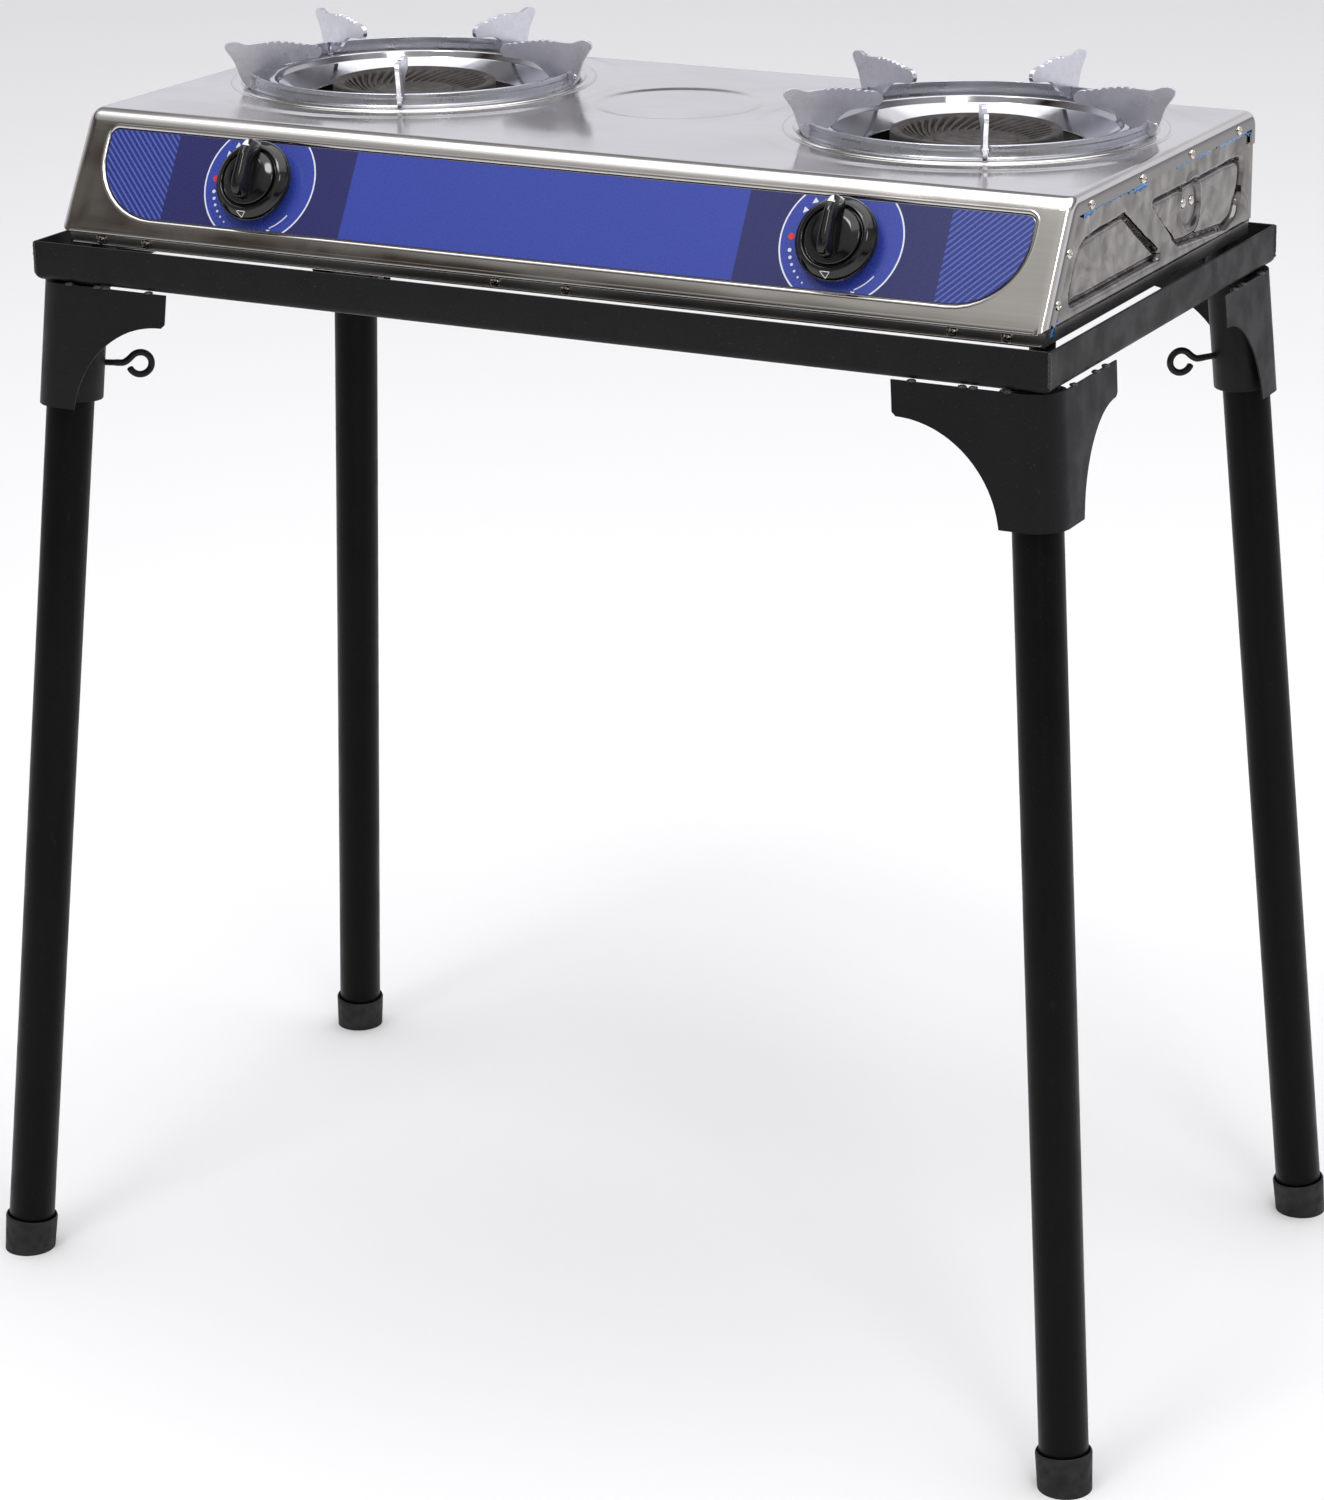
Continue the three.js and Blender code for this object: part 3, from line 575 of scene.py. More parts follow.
def build_corner_welds():
    """A ground weld down each corner, and tacks in the slit between rail and bracket."""
    for name, (sx, sy) in CORNERS.items():
        x, y = sx * (RAIL_HALF_LENGTH - 0.6), sy * (RAIL_HALF_DEPTH - 0.6)
        heights = np.linspace(RAIL_LOW.z + 4.5, RAIL_HIGH.z - 0.8, 60)
        seam = [(x + 0.12 * ripple(z, 0, 2, sx), y + 0.12 * ripple(z, 5, 2, sy), z) for z in heights]

        def bead(distance, angle, seed=sx + 3 * sy):
            return 1.15 + 0.28 * noise.noise(Vector((distance / 1.6, 1.3 * math.cos(angle), seed)))

        slit = (RAIL_LOW.z + BRACKET_TOP) / 2
        bracket_x = LEG_FOOT[0] - LEG_LEAN[0] * slit + BRACKET_RADIUS + 0.2
        bracket_y = LEG_FOOT[1] - LEG_LEAN[1] * slit + BRACKET_RADIUS + 0.2
        tacks = [blob((3.0, 2.4, 1.1), (sx * along, sy * (bracket_y - 1.8), slit), along)
                 for along in (271, 304, 311, 333)]
        tacks += [blob((2.4, 3.0, 1.1), (sx * (bracket_x - 1.8), sy * along, slit), along)
                  for along in (112, 128, 163)]
        shape = merged(sweep(seam, bead, 16), *tacks)
        attach(piece(f"corner_weld_{name}", shape, WELD, None, None), "stand", "stand_paint")


def bracket_shape():
    """A sheet folded round the leg socket with an arm under each rail, for the corner at +X, +Y."""
    height = BRACKET_TOP - BRACKET_BOTTOM
    axis = [LEG_FOOT[k] - LEG_LEAN[k] * (BRACKET_TOP + SOCKET_INWARD / LEAN) for k in range(2)]
    arm_depth, chamfer = 22, 2.5
    floor_drop = height + 5

    def arm(end, tip):
        """(distance along the arm, depth below its top) pairs, from the arm's end to its tip."""
        tip -= LEG_LEAN[0] * height
        start = end + chamfer
        made = [(end, arm_depth - chamfer), (start, arm_depth)]
        for angle in np.linspace(0, math.pi / 2, 26)[1:]:
            drop = floor_drop - (floor_drop - arm_depth) * math.cos(angle)
            made.append((start + (tip - start) * math.sin(angle), min(drop, height)))
        return made

    columns = [((x, axis[1] + BRACKET_RADIUS), (0, 1), drop) for x, drop in arm(257.5, 331)]
    columns.append(((axis[0] - 6, axis[1] + BRACKET_RADIUS), (0, 1), height))
    for angle in np.linspace(math.pi / 2, 0, 17):
        out = (math.cos(angle), math.sin(angle))
        columns.append((tuple(axis[k] + BRACKET_RADIUS * out[k] for k in range(2)), out, height))
    columns.append(((axis[0] + BRACKET_RADIUS, axis[1] - 8), (1, 0), height))
    columns += [((axis[0] + BRACKET_RADIUS, y), (1, 0), drop) for y, drop in arm(94.5, 158)[::-1]]

    def grid(inward):
        rows = []
        for share in np.linspace(0, 1, 9):
            row = []
            for place, out, drop in columns:
                depth = drop * share
                row.append((place[0] - out[0] * inward + LEG_LEAN[0] * depth,
                            place[1] - out[1] * inward + LEG_LEAN[1] * depth, BRACKET_TOP - depth))
            rows.append(row)
        return rows

    return shell(grid(0), grid(BRACKET_SHEET))


def leg_frame(sx, sy):
    """The leg's own axes: local Z runs up the leg, local X points inward, square to it."""
    inward = Vector((-sx * LEG_LEAN[0], -sy * LEG_LEAN[1], 0)) / LEAN
    up = inward * math.sin(TILT) + Vector((0, 0, math.cos(TILT)))
    across = inward * math.cos(TILT) - Vector((0, 0, math.sin(TILT)))
    turned = Matrix((across, up.cross(across), up)).transposed().to_4x4()
    return at(sx * LEG_FOOT[0], sy * LEG_FOOT[1]) @ turned


def along_leg(height):
    return height / math.cos(TILT)


def tube_profile(inner, outer, low, high, edge=0.4):
    return fillet([(r, z, edge) for r, z in ((inner, low), (outer, low), (outer, high), (inner, high))], 3)


def foot_cap(name, placing):
    """A rubber cap with a flared mouth, ground off level at the floor."""
    lip, sole, bore, below = 25, 5, LEG_RADIUS + 0.3, -4
    outline = fillet([
        (0, below), (17.2, below), (18.05, lip - 1.4, 0.8), (17.5, lip, 0.5), (16.9, lip, 0.4),
        (bore, lip - 3.5), (bore, sole), (0, sole),
    ], 3)
    made = piece(name, revolve(outline, 96), CAP_RUBBER, placing, None)
    work = bmesh.new()
    work.from_mesh(made.data)
    everything = work.verts[:] + work.edges[:] + work.faces[:]
    cut = bmesh.ops.bisect_plane(work, geom=everything, plane_co=(0, 0, 0), plane_no=(0, 0, -1),
                                 clear_outer=True)
    edges = [e for e in cut["geom_cut"] if isinstance(e, bmesh.types.BMEdge)]
    bmesh.ops.contextual_create(work, geom=edges)
    bmesh.ops.recalc_face_normals(work, faces=work.faces)
    work.to_mesh(made.data)
    work.free()
    return soften(made, 0.9, 3, 50)


def eye_screw_shape():
    """A threaded shank that lifts into an open ring, in the leg's own axes."""
    thread_end, pitch, groove = 30, 1.0, 0.38
    start, end = math.radians(140), math.radians(-152)
    first = LEG_RADIUS + 0.3
    shank = [(x, 0) for x in np.arange(first, thread_end, pitch / 7)] + [(thread_end + 1, 0)]
    knee = [(EYE_REACH - 12.5, 0), (EYE_REACH - 9.8, 0), polar(EYE_RING, start, EYE_REACH)]
    for t in np.linspace(0, 1, 8)[:-1]:
        weights = (1 - t) ** 2, 2 * t * (1 - t), t * t
        shank.append(tuple(sum(w * p[k] for w, p in zip(weights, knee)) for k in range(2)))
    shank += [polar(EYE_RING, angle, EYE_REACH) for angle in np.linspace(start, end, 60)]

    def radius(distance, angle):
        last = thread_end - first
        fade = smooth_step(distance, 0, 1) * (1 - smooth_step(distance, last - 1.5, last))
        return EYE_WIRE - groove * fade * (0.5 + 0.5 * math.cos(TURN * distance / pitch - angle))

    return sweep([(x, 0, along_leg(EYE_HEIGHT) + z) for x, z in shank], radius, 24)


def build_legs():
    ends = along_leg(SOCKET_BOTTOM), along_leg(SOCKET_TOP)
    socket = revolve(tube_profile(SOCKET_BORE, SOCKET_RADIUS, *ends), 96)
    tube = revolve(tube_profile(LEG_BORE, LEG_RADIUS, LEG_END, along_leg(LEG_TOP)), 96)
    bracket, eye = bracket_shape(), eye_screw_shape()
    for name, (sx, sy) in CORNERS.items():
        here, leg, screw = leg_frame(sx, sy), f"leg_{name}", f"eye_screw_{name}"
        mirrored = Matrix.Diagonal((sx, sy, 1, 1))
        folded = piece(f"corner_bracket_{name}", bracket, STAND_PAINT, mirrored, None)
        attach(soften(folded, 0.25, 2, 60), "stand", "stand_paint", f"bracket_{name}")
        add(f"leg_socket_{name}", socket, STAND_PAINT, "stand", "stand_paint", f"socket_{name}",
            placing=here @ at(SOCKET_INWARD, 0))
        add(f"leg_tube_{name}", tube, LEG_PAINT, leg, "leg_paint", leg, placing=here)
        attach(foot_cap(f"rubber_cap_{name}", here), leg, "cap_rubber", f"foot_cap_{name}")
        add(f"clamp_screw_{name}", eye, SCREW_PAINT, screw, "screw_black", screw, placing=here, sharp=60)


# ---- casing -----------------------------------------------------------------------------------

FACE = at(0, FRONT, BOTTOM) @ Matrix.Rotation(math.pi / 2 - FACE_LEAN, 4, "X")


def cover_profile():
    """Side view of the cover in (y, z): up the face, along the deck and down the rear lip."""
    line = [(FRONT, BOTTOM), (SHOULDER, DECK, 14), (REAR, DECK, 11.9), (REAR, DECK - REAR_LIP)]
    return fillet(line, 12, False)


def resampled(line, step):
    """The same line with no stretch longer than step, as (place, outward normal) pairs."""
    made = []
    for a, b in zip(line, line[1:]):
        a, b = Vector(a), Vector(b)
        count = max(1, round((b - a).length / step))
        made += [a.lerp(b, k / count) for k in range(count)]
    made.append(Vector(line[-1]))
    ends = zip([made[0]] + made[:-1], made[1:] + [made[-1]])
    return [(p, Vector((-(b - a).y, (b - a).x)).normalized()) for p, (a, b) in zip(made, ends)]


def deck_shape(x, y):
    """How far the deck stands proud of its plane: pads round the burners, a dish between, ripples."""
    near = min(math.hypot(x - s * BURNER_X, y - BURNER_Y) for s in (-1, 1))
    margin = min(HALF_WIDTH - abs(x), REAR - y, y - SHOULDER)
    pad = DECK_RISE * (1 - smooth_step(near, 139, 145))
    dish = -1.1 * (1 - smooth_step(math.hypot(x + 4, y - 40), 51.5, 57))
    wave = 0.22 * ripple(x, y, 95) * smooth_step(near, INSERT_RADIUS, 170)
    return (pad + dish + wave) * smooth_step(margin, 6, 24)


def face_shape(x, up):
    """Ripples of the sloping face, fading out round the label's recess."""
    outside = max(abs(x) - LABEL_HALF, LABEL_LOW - up, up - LABEL_HIGH)
    below = max(0.0, 1 - up / (LABEL_LOW - INSERT_GROW))
    return 0.12 * ripple(x, up, 60, 7) * smooth_step(outside, INSERT_GROW, 9) - 0.4 * below**2


def build_cover():
    line = resampled(cover_profile(), 2.6)
    flat = HALF_WIDTH - END_ROUND
    columns = [(x, 0.0) for x in np.linspace(-flat, flat, 265)]
    ends = [(flat + END_ROUND * math.sin(a), END_ROUND * (1 - math.cos(a)))
            for a in np.linspace(0, math.pi / 2, 9)[1:]]
    ends += [(HALF_WIDTH, d) for d in np.linspace(END_ROUND, SIDE_LIP, 4)[1:]]
    columns = [(-x, d) for x, d in ends[::-1]] + columns + ends
    corner = 9.0

    def grid(inward):
        rows, travelled, previous = [], 0.0, line[0][0]
        for place, out in line:
            travelled += (place - previous).length
            previous, row = place, []
            for x, drop in columns:
                edge = max(0.0, abs(x) - (HALF_WIDTH - corner)) / corner
                lift = corner * (1 - math.sqrt(max(0.0, 1 - edge * edge)))
                at_place = place + FACE_UP * lift * max(0.0, 1 - travelled / 20)
                rise = 0.0
                if drop == 0 and place.y > DECK - 0.01:
                    rise = deck_shape(x, place.x)
                elif drop == 0 and travelled < FACE_LENGTH - 12:
                    rise = face_shape(x, travelled)
                lean = min(1.0, drop / END_ROUND)
                depth = drop + inward * (1 - lean) - rise
                across = math.copysign(abs(x) - inward * lean, x)
                row.append((across, at_place.x - out.x * depth, at_place.y - out.y * depth))
            rows.append(row)
        return rows

    # the second steel is the darker copy, painted shade for the cover's side faces
    lit_and_shaded_steels = [COVER_STEEL, LIP_SHADED_STEEL]
    cover = piece("stove_cover", shell(grid(0), grid(SHEET)), lit_and_shaded_steels, None, None)
    hole = prism(circle(INSERT_RADIUS, 160), DECK - 8, DECK + 8)
    seats = {name: at(s * BURNER_X, BURNER_Y) for name, s in SIDES.items()}
    recess = moved(prism(label_outline(INSERT_GROW), -6, 6), FACE)
    cut_away(cover, recess, *(moved(hole, seat) for seat in seats.values()))
    cover.data.shade_smooth()
    cover.data.set_sharp_from_angle(angle=math.radians(38))
    # painted shade: the cover's outer side faces take the darker copy of its steel
    for face in cover.data.polygons:
        face.material_index = int(abs(face.center.x) > (HALF_WIDTH - 0.4) * MM)
    attach(cover, "stove", "cover_steel", "top_cover")
    bead = revolve(seat_profile(), 160)
    for name, seat in seats.items():
        add(f"burner_seat_{name}", bead, COVER_STEEL, "stove", "cover_steel", placing=seat)
    add("label_seat", label_seat(), COVER_STEEL, "stove", "cover_steel", placing=FACE)
    add("cover_hem", hem_shape(), COVER_STEEL, "stove", "cover_steel")



def seat_profile():
    """The stamped bead round a burner and the turned-down edge of its hole, in (radius, height)."""
    top = DECK + DECK_RISE
    upper = [(INSERT_RADIUS, top), (124.4, top)]
    arch = np.linspace(0.35, math.pi - 0.35, 9)
    upper += [(120.6 + 3.8 * math.cos(a), top + 1.5 * math.sin(a)) for a in arch]
    upper += [(r, DECK + z) for r, z in ((115.6, 0.1), (112, -0.3), (98, -0.3), (95.6, -1), (95, -5))]
    lower = [(r + (0.5 if r < 96 else 0), z - SHEET * (z > DECK - 4)) for r, z in upper[::-1]]
    return upper + lower


def label_outline(grow, steps=10):
    side, foot, head = LABEL_HALF + grow, LABEL_LOW - grow, LABEL_HIGH + grow
    top, bottom = LABEL_TOP_ROUND + grow, LABEL_BOTTOM_ROUND + grow
    corners = [(-side, foot, bottom), (side, foot, bottom), (side, head, top), (-side, head, top)]
    return fillet(corners, steps)


def label_seat():
    """The rolled edge of the label's recess: loops of its outline, stepping inward and down."""
    rolled = [(INSERT_GROW, 0), (3.2, 0.06), (2.6, 0.1), (1.9, -0.05), (1.3, -0.45), (0.85, -1.05),
              (0.6, -LABEL_DEPTH), (-3.5, -LABEL_DEPTH)]
    back = [(grow - 0.01, min(n, 0) - SHEET) for grow, n in rolled[::-1]]
    loops = [[(u, v, n) for u, v in label_outline(grow)] for grow, n in rolled + back]
    count = len(loops[0])
    rings = [range(k * count, (k + 1) * count) for k in range(len(loops))]
    faces = [face for a, b in zip(rings, rings[1:] + rings[:1]) for face in band(a, b)]
    return [v for loop in loops for v in loop], faces


def hem_shape():
    """The face's lower edge turned under, from end to end."""
    turn = 1.6
    length = HALF_WIDTH - END_ROUND - 2
    up, out = FACE_UP, Vector((-FACE_UP.y, FACE_UP.x))
    start = FACE_FOOT + up * 1.2
    centre = start - out * turn
    angles = np.linspace(0, math.pi * 0.78, 8)
    arc = [centre + (out * math.cos(a) - up * math.sin(a)) * turn for a in angles]
    tail = (arc[-1] - arc[-2]).normalized()
    outer = [start + up * 2] + arc + [arc[-1] + tail * 4]
    pairs = zip(outer, outer[1:] + [outer[-1] + tail])
    inner = [p + Vector(((b - p).y, -(b - p).x)).normalized() * -0.9 for p, b in pairs]
    return shell(*[[[(x, p.x, p.y + 0.4) for p in line] for x in np.linspace(-length, length, 3)]
                   for line in (outer, inner)])


def rounded_distance(y, z, outline):
    """Signed distance from a point to a closed outline, negative inside."""
    inside, best = False, 1e9
    for (ay, az), (by, bz) in zip(outline, outline[1:] + outline[:1]):
        ey, ez = by - ay, bz - az
        t = min(1, max(0, ((y - ay) * ey + (z - az) * ez) / (ey * ey + ez * ez)))
        best = min(best, math.hypot(y - ay - t * ey, z - az - t * ez))
        if (az > z) != (bz > z) and y < ay + (z - az) / (bz - az) * (by - ay):
            inside = not inside
    return -best if inside else best


PANEL_LOW = BOTTOM + 1.5
PANEL_SET = 2.0
INLET = (70, 757)
FRONT_RECESS = fillet([
    (-138, 731.5, 4), (-134, 752, 30), (-115, 771, 16), (-46, 774.5, 3), (15, 738, 4), (12, 731.5, 3),
], 6)
REAR_RECESS = fillet([
    (46, 733, 3), (-6, 773, 3), (164, 773, 11), (160, 735, 24), (128, 727.5, 20),
], 6)


def panel_depth(y, z):
    """How deep the side panel's stamping is: two fields, a groove round each, and a boss."""
    depth = 0.0
    for outline in (FRONT_RECESS, REAR_RECESS):
        edge = rounded_distance(y, z, outline)
        depth += 1.9 * (1 - smooth_step(edge, -2.6, 0.4))
        depth += 2.7 * math.exp(-((edge + 2.8) / 1.6) ** 2)
    boss = math.hypot(y - INLET[0], z - INLET[1])
    depth += 1.6 * (1 - smooth_step(boss, 13, 17)) - 1.1 * math.exp(-((boss - 18) / 2.2) ** 2)
    calm = smooth_step(z, PANEL_LOW + 2, PANEL_LOW + 14)
    calm *= 1 - smooth_step(y, REAR - 30, REAR - 8)
    return depth + calm * (1.3 + 0.75 * ripple(y, z, 26, 3) + 0.3 * ripple(y, z, 11, 9))


def build_side_panels():
    outer_face, inset = HALF_WIDTH - PANEL_SET, 5.5
    top = DECK - inset
    rows = []
    for z in np.linspace(PANEL_LOW, top, 88):
        first = FRONT + (z - BOTTOM) * math.tan(FACE_LEAN) + inset / math.cos(FACE_LEAN)
        first += 9 * smooth_step(z, top - 9, top) ** 2
        last = REAR - 3 - 3 * smooth_step(z, top - 10, top) ** 2
        rows.append([(y, z, panel_depth(y, z)) for y in np.linspace(first, last, 300)])
    for name, s in SIDES.items():
        sheets = [[[(s * (outer_face - d - back), y, z) for y, z, d in row] for row in rows]
                  for back in (0, SHEET)]
        add(f"stamped_panel_{name}", shell(*sheets), PANEL_SHADED_STEEL, "stove", "panel_steel",
            f"side_panel_{name}")


def screw_shape(radius=3.1, height=1.9):
    """A pan-head screw with a cross recess, its head along +Z from the surface at z = 0."""
    profile = [(0, -2), (radius * 0.5, -2), (radius * 0.5, 0), (radius, 0), (radius, height * 0.35)]
    profile += [(radius * math.cos(a), height * (0.35 + 0.65 * math.sin(a)))
                for a in np.linspace(0.2, 1.2, 6)]
    profile += [(radius * share, height) for share in (0.30, 0.24, 0.18, 0.12, 0.06, 0)]
    half, reach = radius * 0.13, radius * 0.58

    def recess(r, angle, z):
        across = min(abs(r * math.cos(angle)), abs(r * math.sin(angle)))
        slot = 1 - smooth_step(across, half, half * 1.5)
        return -1.1 * slot * (1 - smooth_step(r, reach, reach * 1.15)) * (z > height * 0.5)

    return revolve(profile, 48, recess)


def facing(x, y, z, direction, roll=0.0):
    """Puts a shape drawn along +Z at a place, looking along a direction."""
    turn = Vector((0, 0, 1)).rotation_difference(Vector(direction)).to_matrix().to_4x4()
    return at(x, y, z) @ turn @ Matrix.Rotation(roll, 4, "Z")


def build_screws():
    head, large = screw_shape(), screw_shape(3.6, 2.6)
    dome = [(3.4 * math.cos(a), 1.7 * math.sin(a)) for a in np.linspace(0, 1.5, 7)]
    rivet = revolve([(0, -1), *dome, (0, 1.7)], 32)
    for name, s in SIDES.items():
        places = [(y, DECK - 8.4) for y in (-111, -27, 58, 144)]
        places += [tuple(FACE_FOOT + FACE_UP * up + FACE_BACK * 8.6) for up in (22, 54)]
        heads = [moved(head, facing(s * HALF_WIDTH, y, z, (s, 0, 0), 0.7 * k))
                 for k, (y, z) in enumerate(places)]
        add(f"lip_screws_{name}", merged(*heads), SCREW_STEEL, "stove", "cover_steel")
    surface = HALF_WIDTH - PANEL_SET
    pair = [moved(rivet, facing(surface - panel_depth(y, z), y, z, (1, 0, 0)))
            for y, z in ((62, 758.5), (77.5, 757.5))]
    add("boss_rivets_right", merged(*pair), SCREW_STEEL, "stove", "panel_steel")
    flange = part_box("base_pan")[0].y / MM
    roll = sweep([(x, flange - 0.5, 717) for x in (-344, 0, 344)], 0.9, 16)
    add("pan_front_roll", roll, COVER_STEEL, "stove", "cover_steel")
    heads = [moved(large, facing(x, flange, 720.6, (0, -1, 0), 0.31 * x))
             for x in (-322, -287, -25, 25, 287, 322)]
    add("rim_screws", merged(*heads), SCREW_STEEL, "stove", "cover_steel")


def shred(length, height, seed):
    """A torn strip of protective film, lying in X and Y with its straight edge at y = 0."""
    count = max(6, round(length / 0.8))
    steps = range(count + 1)

    def torn(k, pace, depth):
        return noise.noise(Vector((k * pace, seed, depth)))

    top = [(length * k / count, height * (0.75 + 0.9 * abs(torn(k, 0.9, 0)))) for k in steps[::-1]]
    foot = [(length * k / count, 0.35 * torn(k, 0.7, 5)) for k in steps]
    return prism(foot + top, 0, 0.12)


def build_film_shreds():
    """Scraps of blue film still caught under the lips beside the screws."""
    under_deck = [(-119, 15, 4.4), (-104, 62, 2.2), (-38, 24, 5.0), (34, 30, 2.4), (72, 26, 2.8),
                  (112, 56, 3.0), (164, 10, 4.4)]
    under_face = [(3, 15, 4.8), (18, 10, 4.0), (30, 26, 3.4)]
    for name, s in SIDES.items():
        plane = s * (HALF_WIDTH - SHEET - 0.5)
        foot = DECK - SIDE_LIP + 0.4
        scraps = []
        for k, (y, length, height) in enumerate(under_deck):
            flat = Matrix(((0, 0, s, plane), (1, 0, 0, y), (0, -1, 0, foot), (0, 0, 0, 1)))
            scraps.append(moved(shred(length, height, k + 3 * s), flat))
        for k, (up, length, height) in enumerate(under_face):
            spot = FACE_FOOT + FACE_UP * up + FACE_BACK * (SIDE_LIP - 0.4)
            flat = Matrix(((0, 0, s, plane), (FACE_UP.x, FACE_BACK.x, 0, spot.x),
                           (FACE_UP.y, FACE_BACK.y, 0, spot.y), (0, 0, 0, 1)))
            scraps.append(moved(shred(length, height, k + 20), flat))
        attach(piece(f"film_shreds_{name}", merged(*scraps), FILM, None, None), "stove", "label_print")


# ---- printed label and knobs ------------------------------------------------------------------


def clipped(polygon, window):
    """The part of a polygon inside a convex window whose points run anticlockwise."""
    for (ax, ay), (bx, by) in zip(window, window[1:] + window[:1]):
        side = [(bx - ax) * (y - ay) - (by - ay) * (x - ax) for x, y in polygon]
        kept = []
        for k, (x, y) in enumerate(polygon):
            px, py = polygon[k - 1]
            if (side[k] >= 0) != (side[k - 1] >= 0):
                t = side[k - 1] / (side[k - 1] - side[k])
                kept.append((px + t * (x - px), py + t * (y - py)))
            if side[k] >= 0:
                kept.append((x, y))
        polygon = kept
        if len(polygon) < 3:
            return []
    return polygon


def label_marks(s):
    """(layer, outline, ink) of one end of the label: its coloured fields, its dial and its signs."""
    royal, stripe, ground, white, red = range(1, 6)
    low, high = LABEL_LOW - 5, LABEL_HIGH + 5
    inner, outer, end, pitch, line_width = 140, 275, 335, 4.5, 1.6
    dial_radius, dial_y, dial_steps, sign_reach = 40.5, KNOB_UP + 1, 96, 33.5

    def zone(near, far):
        return [(s * near, low), (s * far, low), (s * far, high), (s * near, high)]

    def sign(angle, outline, ink=white, reach=sign_reach, turned=0.0):
        """A sign at an angle and reach from the knob's axis, turned about its own middle."""
        x, y = polar(reach, math.radians(angle), s * KNOB_X, KNOB_UP)
        c, t = math.cos(turned), math.sin(turned)
        marks.append((5, [(x + u * c - v * t, y + u * t + v * c) for u, v in outline], ink))

    def arrow(angle, size, reach=sign_reach):
        corners = [(size, 0), (-size * 0.7, size * 0.8), (-size * 0.7, -size * 0.8)]
        sign(angle, corners, white, reach, math.radians(angle) + math.pi / 2)

    def arc(y, radius, half_width, start, end):
        corners = ((-1, start), (1, start), (1, end), (-1, end))
        outline = [polar(radius + side * half_width, a, s * KNOB_X, y) for side, a in corners]
        marks.append((5, outline, white))

    marks = [(1, zone(outer, end), ground), (1, zone(0, inner), royal)]
    striped = zone(outer, end) if s > 0 else zone(outer, end)[::-1]
    for k in range(-1, 28):
        x = s * (outer - (high - low) + pitch * k)
        head = x + s * (high - low)
        line = [(x, low), (x + line_width, low), (head + line_width, high), (head, high)]
        line = clipped(line, striped)
        if line:
            marks.append((2, line, stripe))
    marks.append((4, [(s * KNOB_X + x, dial_y + y) for x, y in circle(dial_radius, dial_steps)], royal))
    for k in range(dial_steps):
        arc(dial_y, dial_radius, 0.5, TURN * k / dial_steps, TURN * (k + 1) / dial_steps)
    for angle in (118, 133, 147):
        arrow(angle, 2.3)
    sign(178, circle(2.1, 20), red)
    for k in range(6):
        sign(193 + 8.2 * k, circle(1.25 - 0.13 * k, 20))
    for k in range(14):
        arc(KNOB_UP, 32, 0.4, *(math.radians(-62 + 1.9 * (k + e)) for e in (0, 1)))
    arrow(-64, 1.6, 33.4)
    return marks


def signed_area(outline):
    return sum(a[0] * b[1] - b[0] * a[1] for a, b in zip(outline, outline[1:] + outline[:1]))


def build_label():
    """The film and, on it, each layer of ink a little prouder than the one below."""
    window, layer_step = label_outline(-0.25), 0.03
    shapes, inks = [prism(label_outline(0), FILM_TOP - 0.8, FILM_TOP)], [0]
    for s in (-1, 1):
        for layer, outline, ink in label_marks(s):
            kept = clipped(outline if signed_area(outline) > 0 else outline[::-1], window)
            if kept:
                shapes.append(prism(kept, FILM_TOP - 0.02, FILM_TOP + layer * layer_step))
                inks.append(ink)
    label = piece("printed_label", merged(*shapes), INKS, FACE, 20)
    owner = [ink for shape, ink in zip(shapes, inks) for _ in shape[1]]
    label.data.polygons.foreach_set("material_index", owner)
    attach(label, "stove", "label_print", "control_label")


def dial_profile():
    """The knob's domed skirt, its groove and its slightly crowned face, in (radius, height)."""
    steps = [
        (0, 0), (25.4, 0), (KNOB_RADIUS, 1.6, 1.2), (26.6, 4.6, 6), (22.6, 8.6, 3), (20.0, 9.4, 1),
        (19.3, 6.8, 0.5), (18.4, 6.8, 0.5), (18.0, 9.6, 1.2), (13, 11.2, 8), (0, 11.9),
    ]
    return fillet([(r, KNOB_BASE + up, *round_off) for r, up, *round_off in steps], 6, False)


def grip_shape():
    """The pointer bar across the knob: a tall rounded ridge, slimmer towards its pointing end."""
    low, high = -15.8, 24.2
    base, full = KNOB_BASE + 4, 20.4
    rows, columns = 40, 32
    verts, faces, marked = [], [], []
    middle, half = (low + high) / 2, (high - low) / 2
    for i in range(rows + 1):
        along = -math.cos(math.pi * i / rows)
        closing = max(0.0, 1 - abs(along) ** 5) ** 0.42
        slim = smooth_step(along, -0.7, 1)
        foot_half, ridge_half = (8.8 - 3.4 * slim) * closing, (4.7 - 1.0 * slim) * closing
        height = full * (1 - 0.10 * smooth_step(along, 0.3, 1)) * max(0.02, closing) ** 0.45
        for k in range(columns + 1):
            c, s = polar(1, math.pi * k / columns)
            rise = abs(s) ** 0.55
            half_width = ridge_half + (foot_half - ridge_half) * (1 - rise) ** 1.3
            across = half_width * math.copysign(abs(c) ** 0.62, c)
            verts.append((across, middle + half * along, base + height * rise))
    stride = columns + 1
    for a in range(0, rows * stride, stride):
        for k in range(a, a + columns):
            faces.append((k, k + 1, k + 1 + stride, k + stride))
            across, along, up = (Vector(verts[k]) + Vector(verts[k + 1 + stride])) / 2
            near_tip = high - 6.5 < along and abs(across) < (high - 1.5 - along) * 0.5
            marked.append(up > base + 13 and near_tip)
        faces.append((a + columns, a, a + stride, a + stride + columns))
        marked.append(False)
    return verts, faces, marked


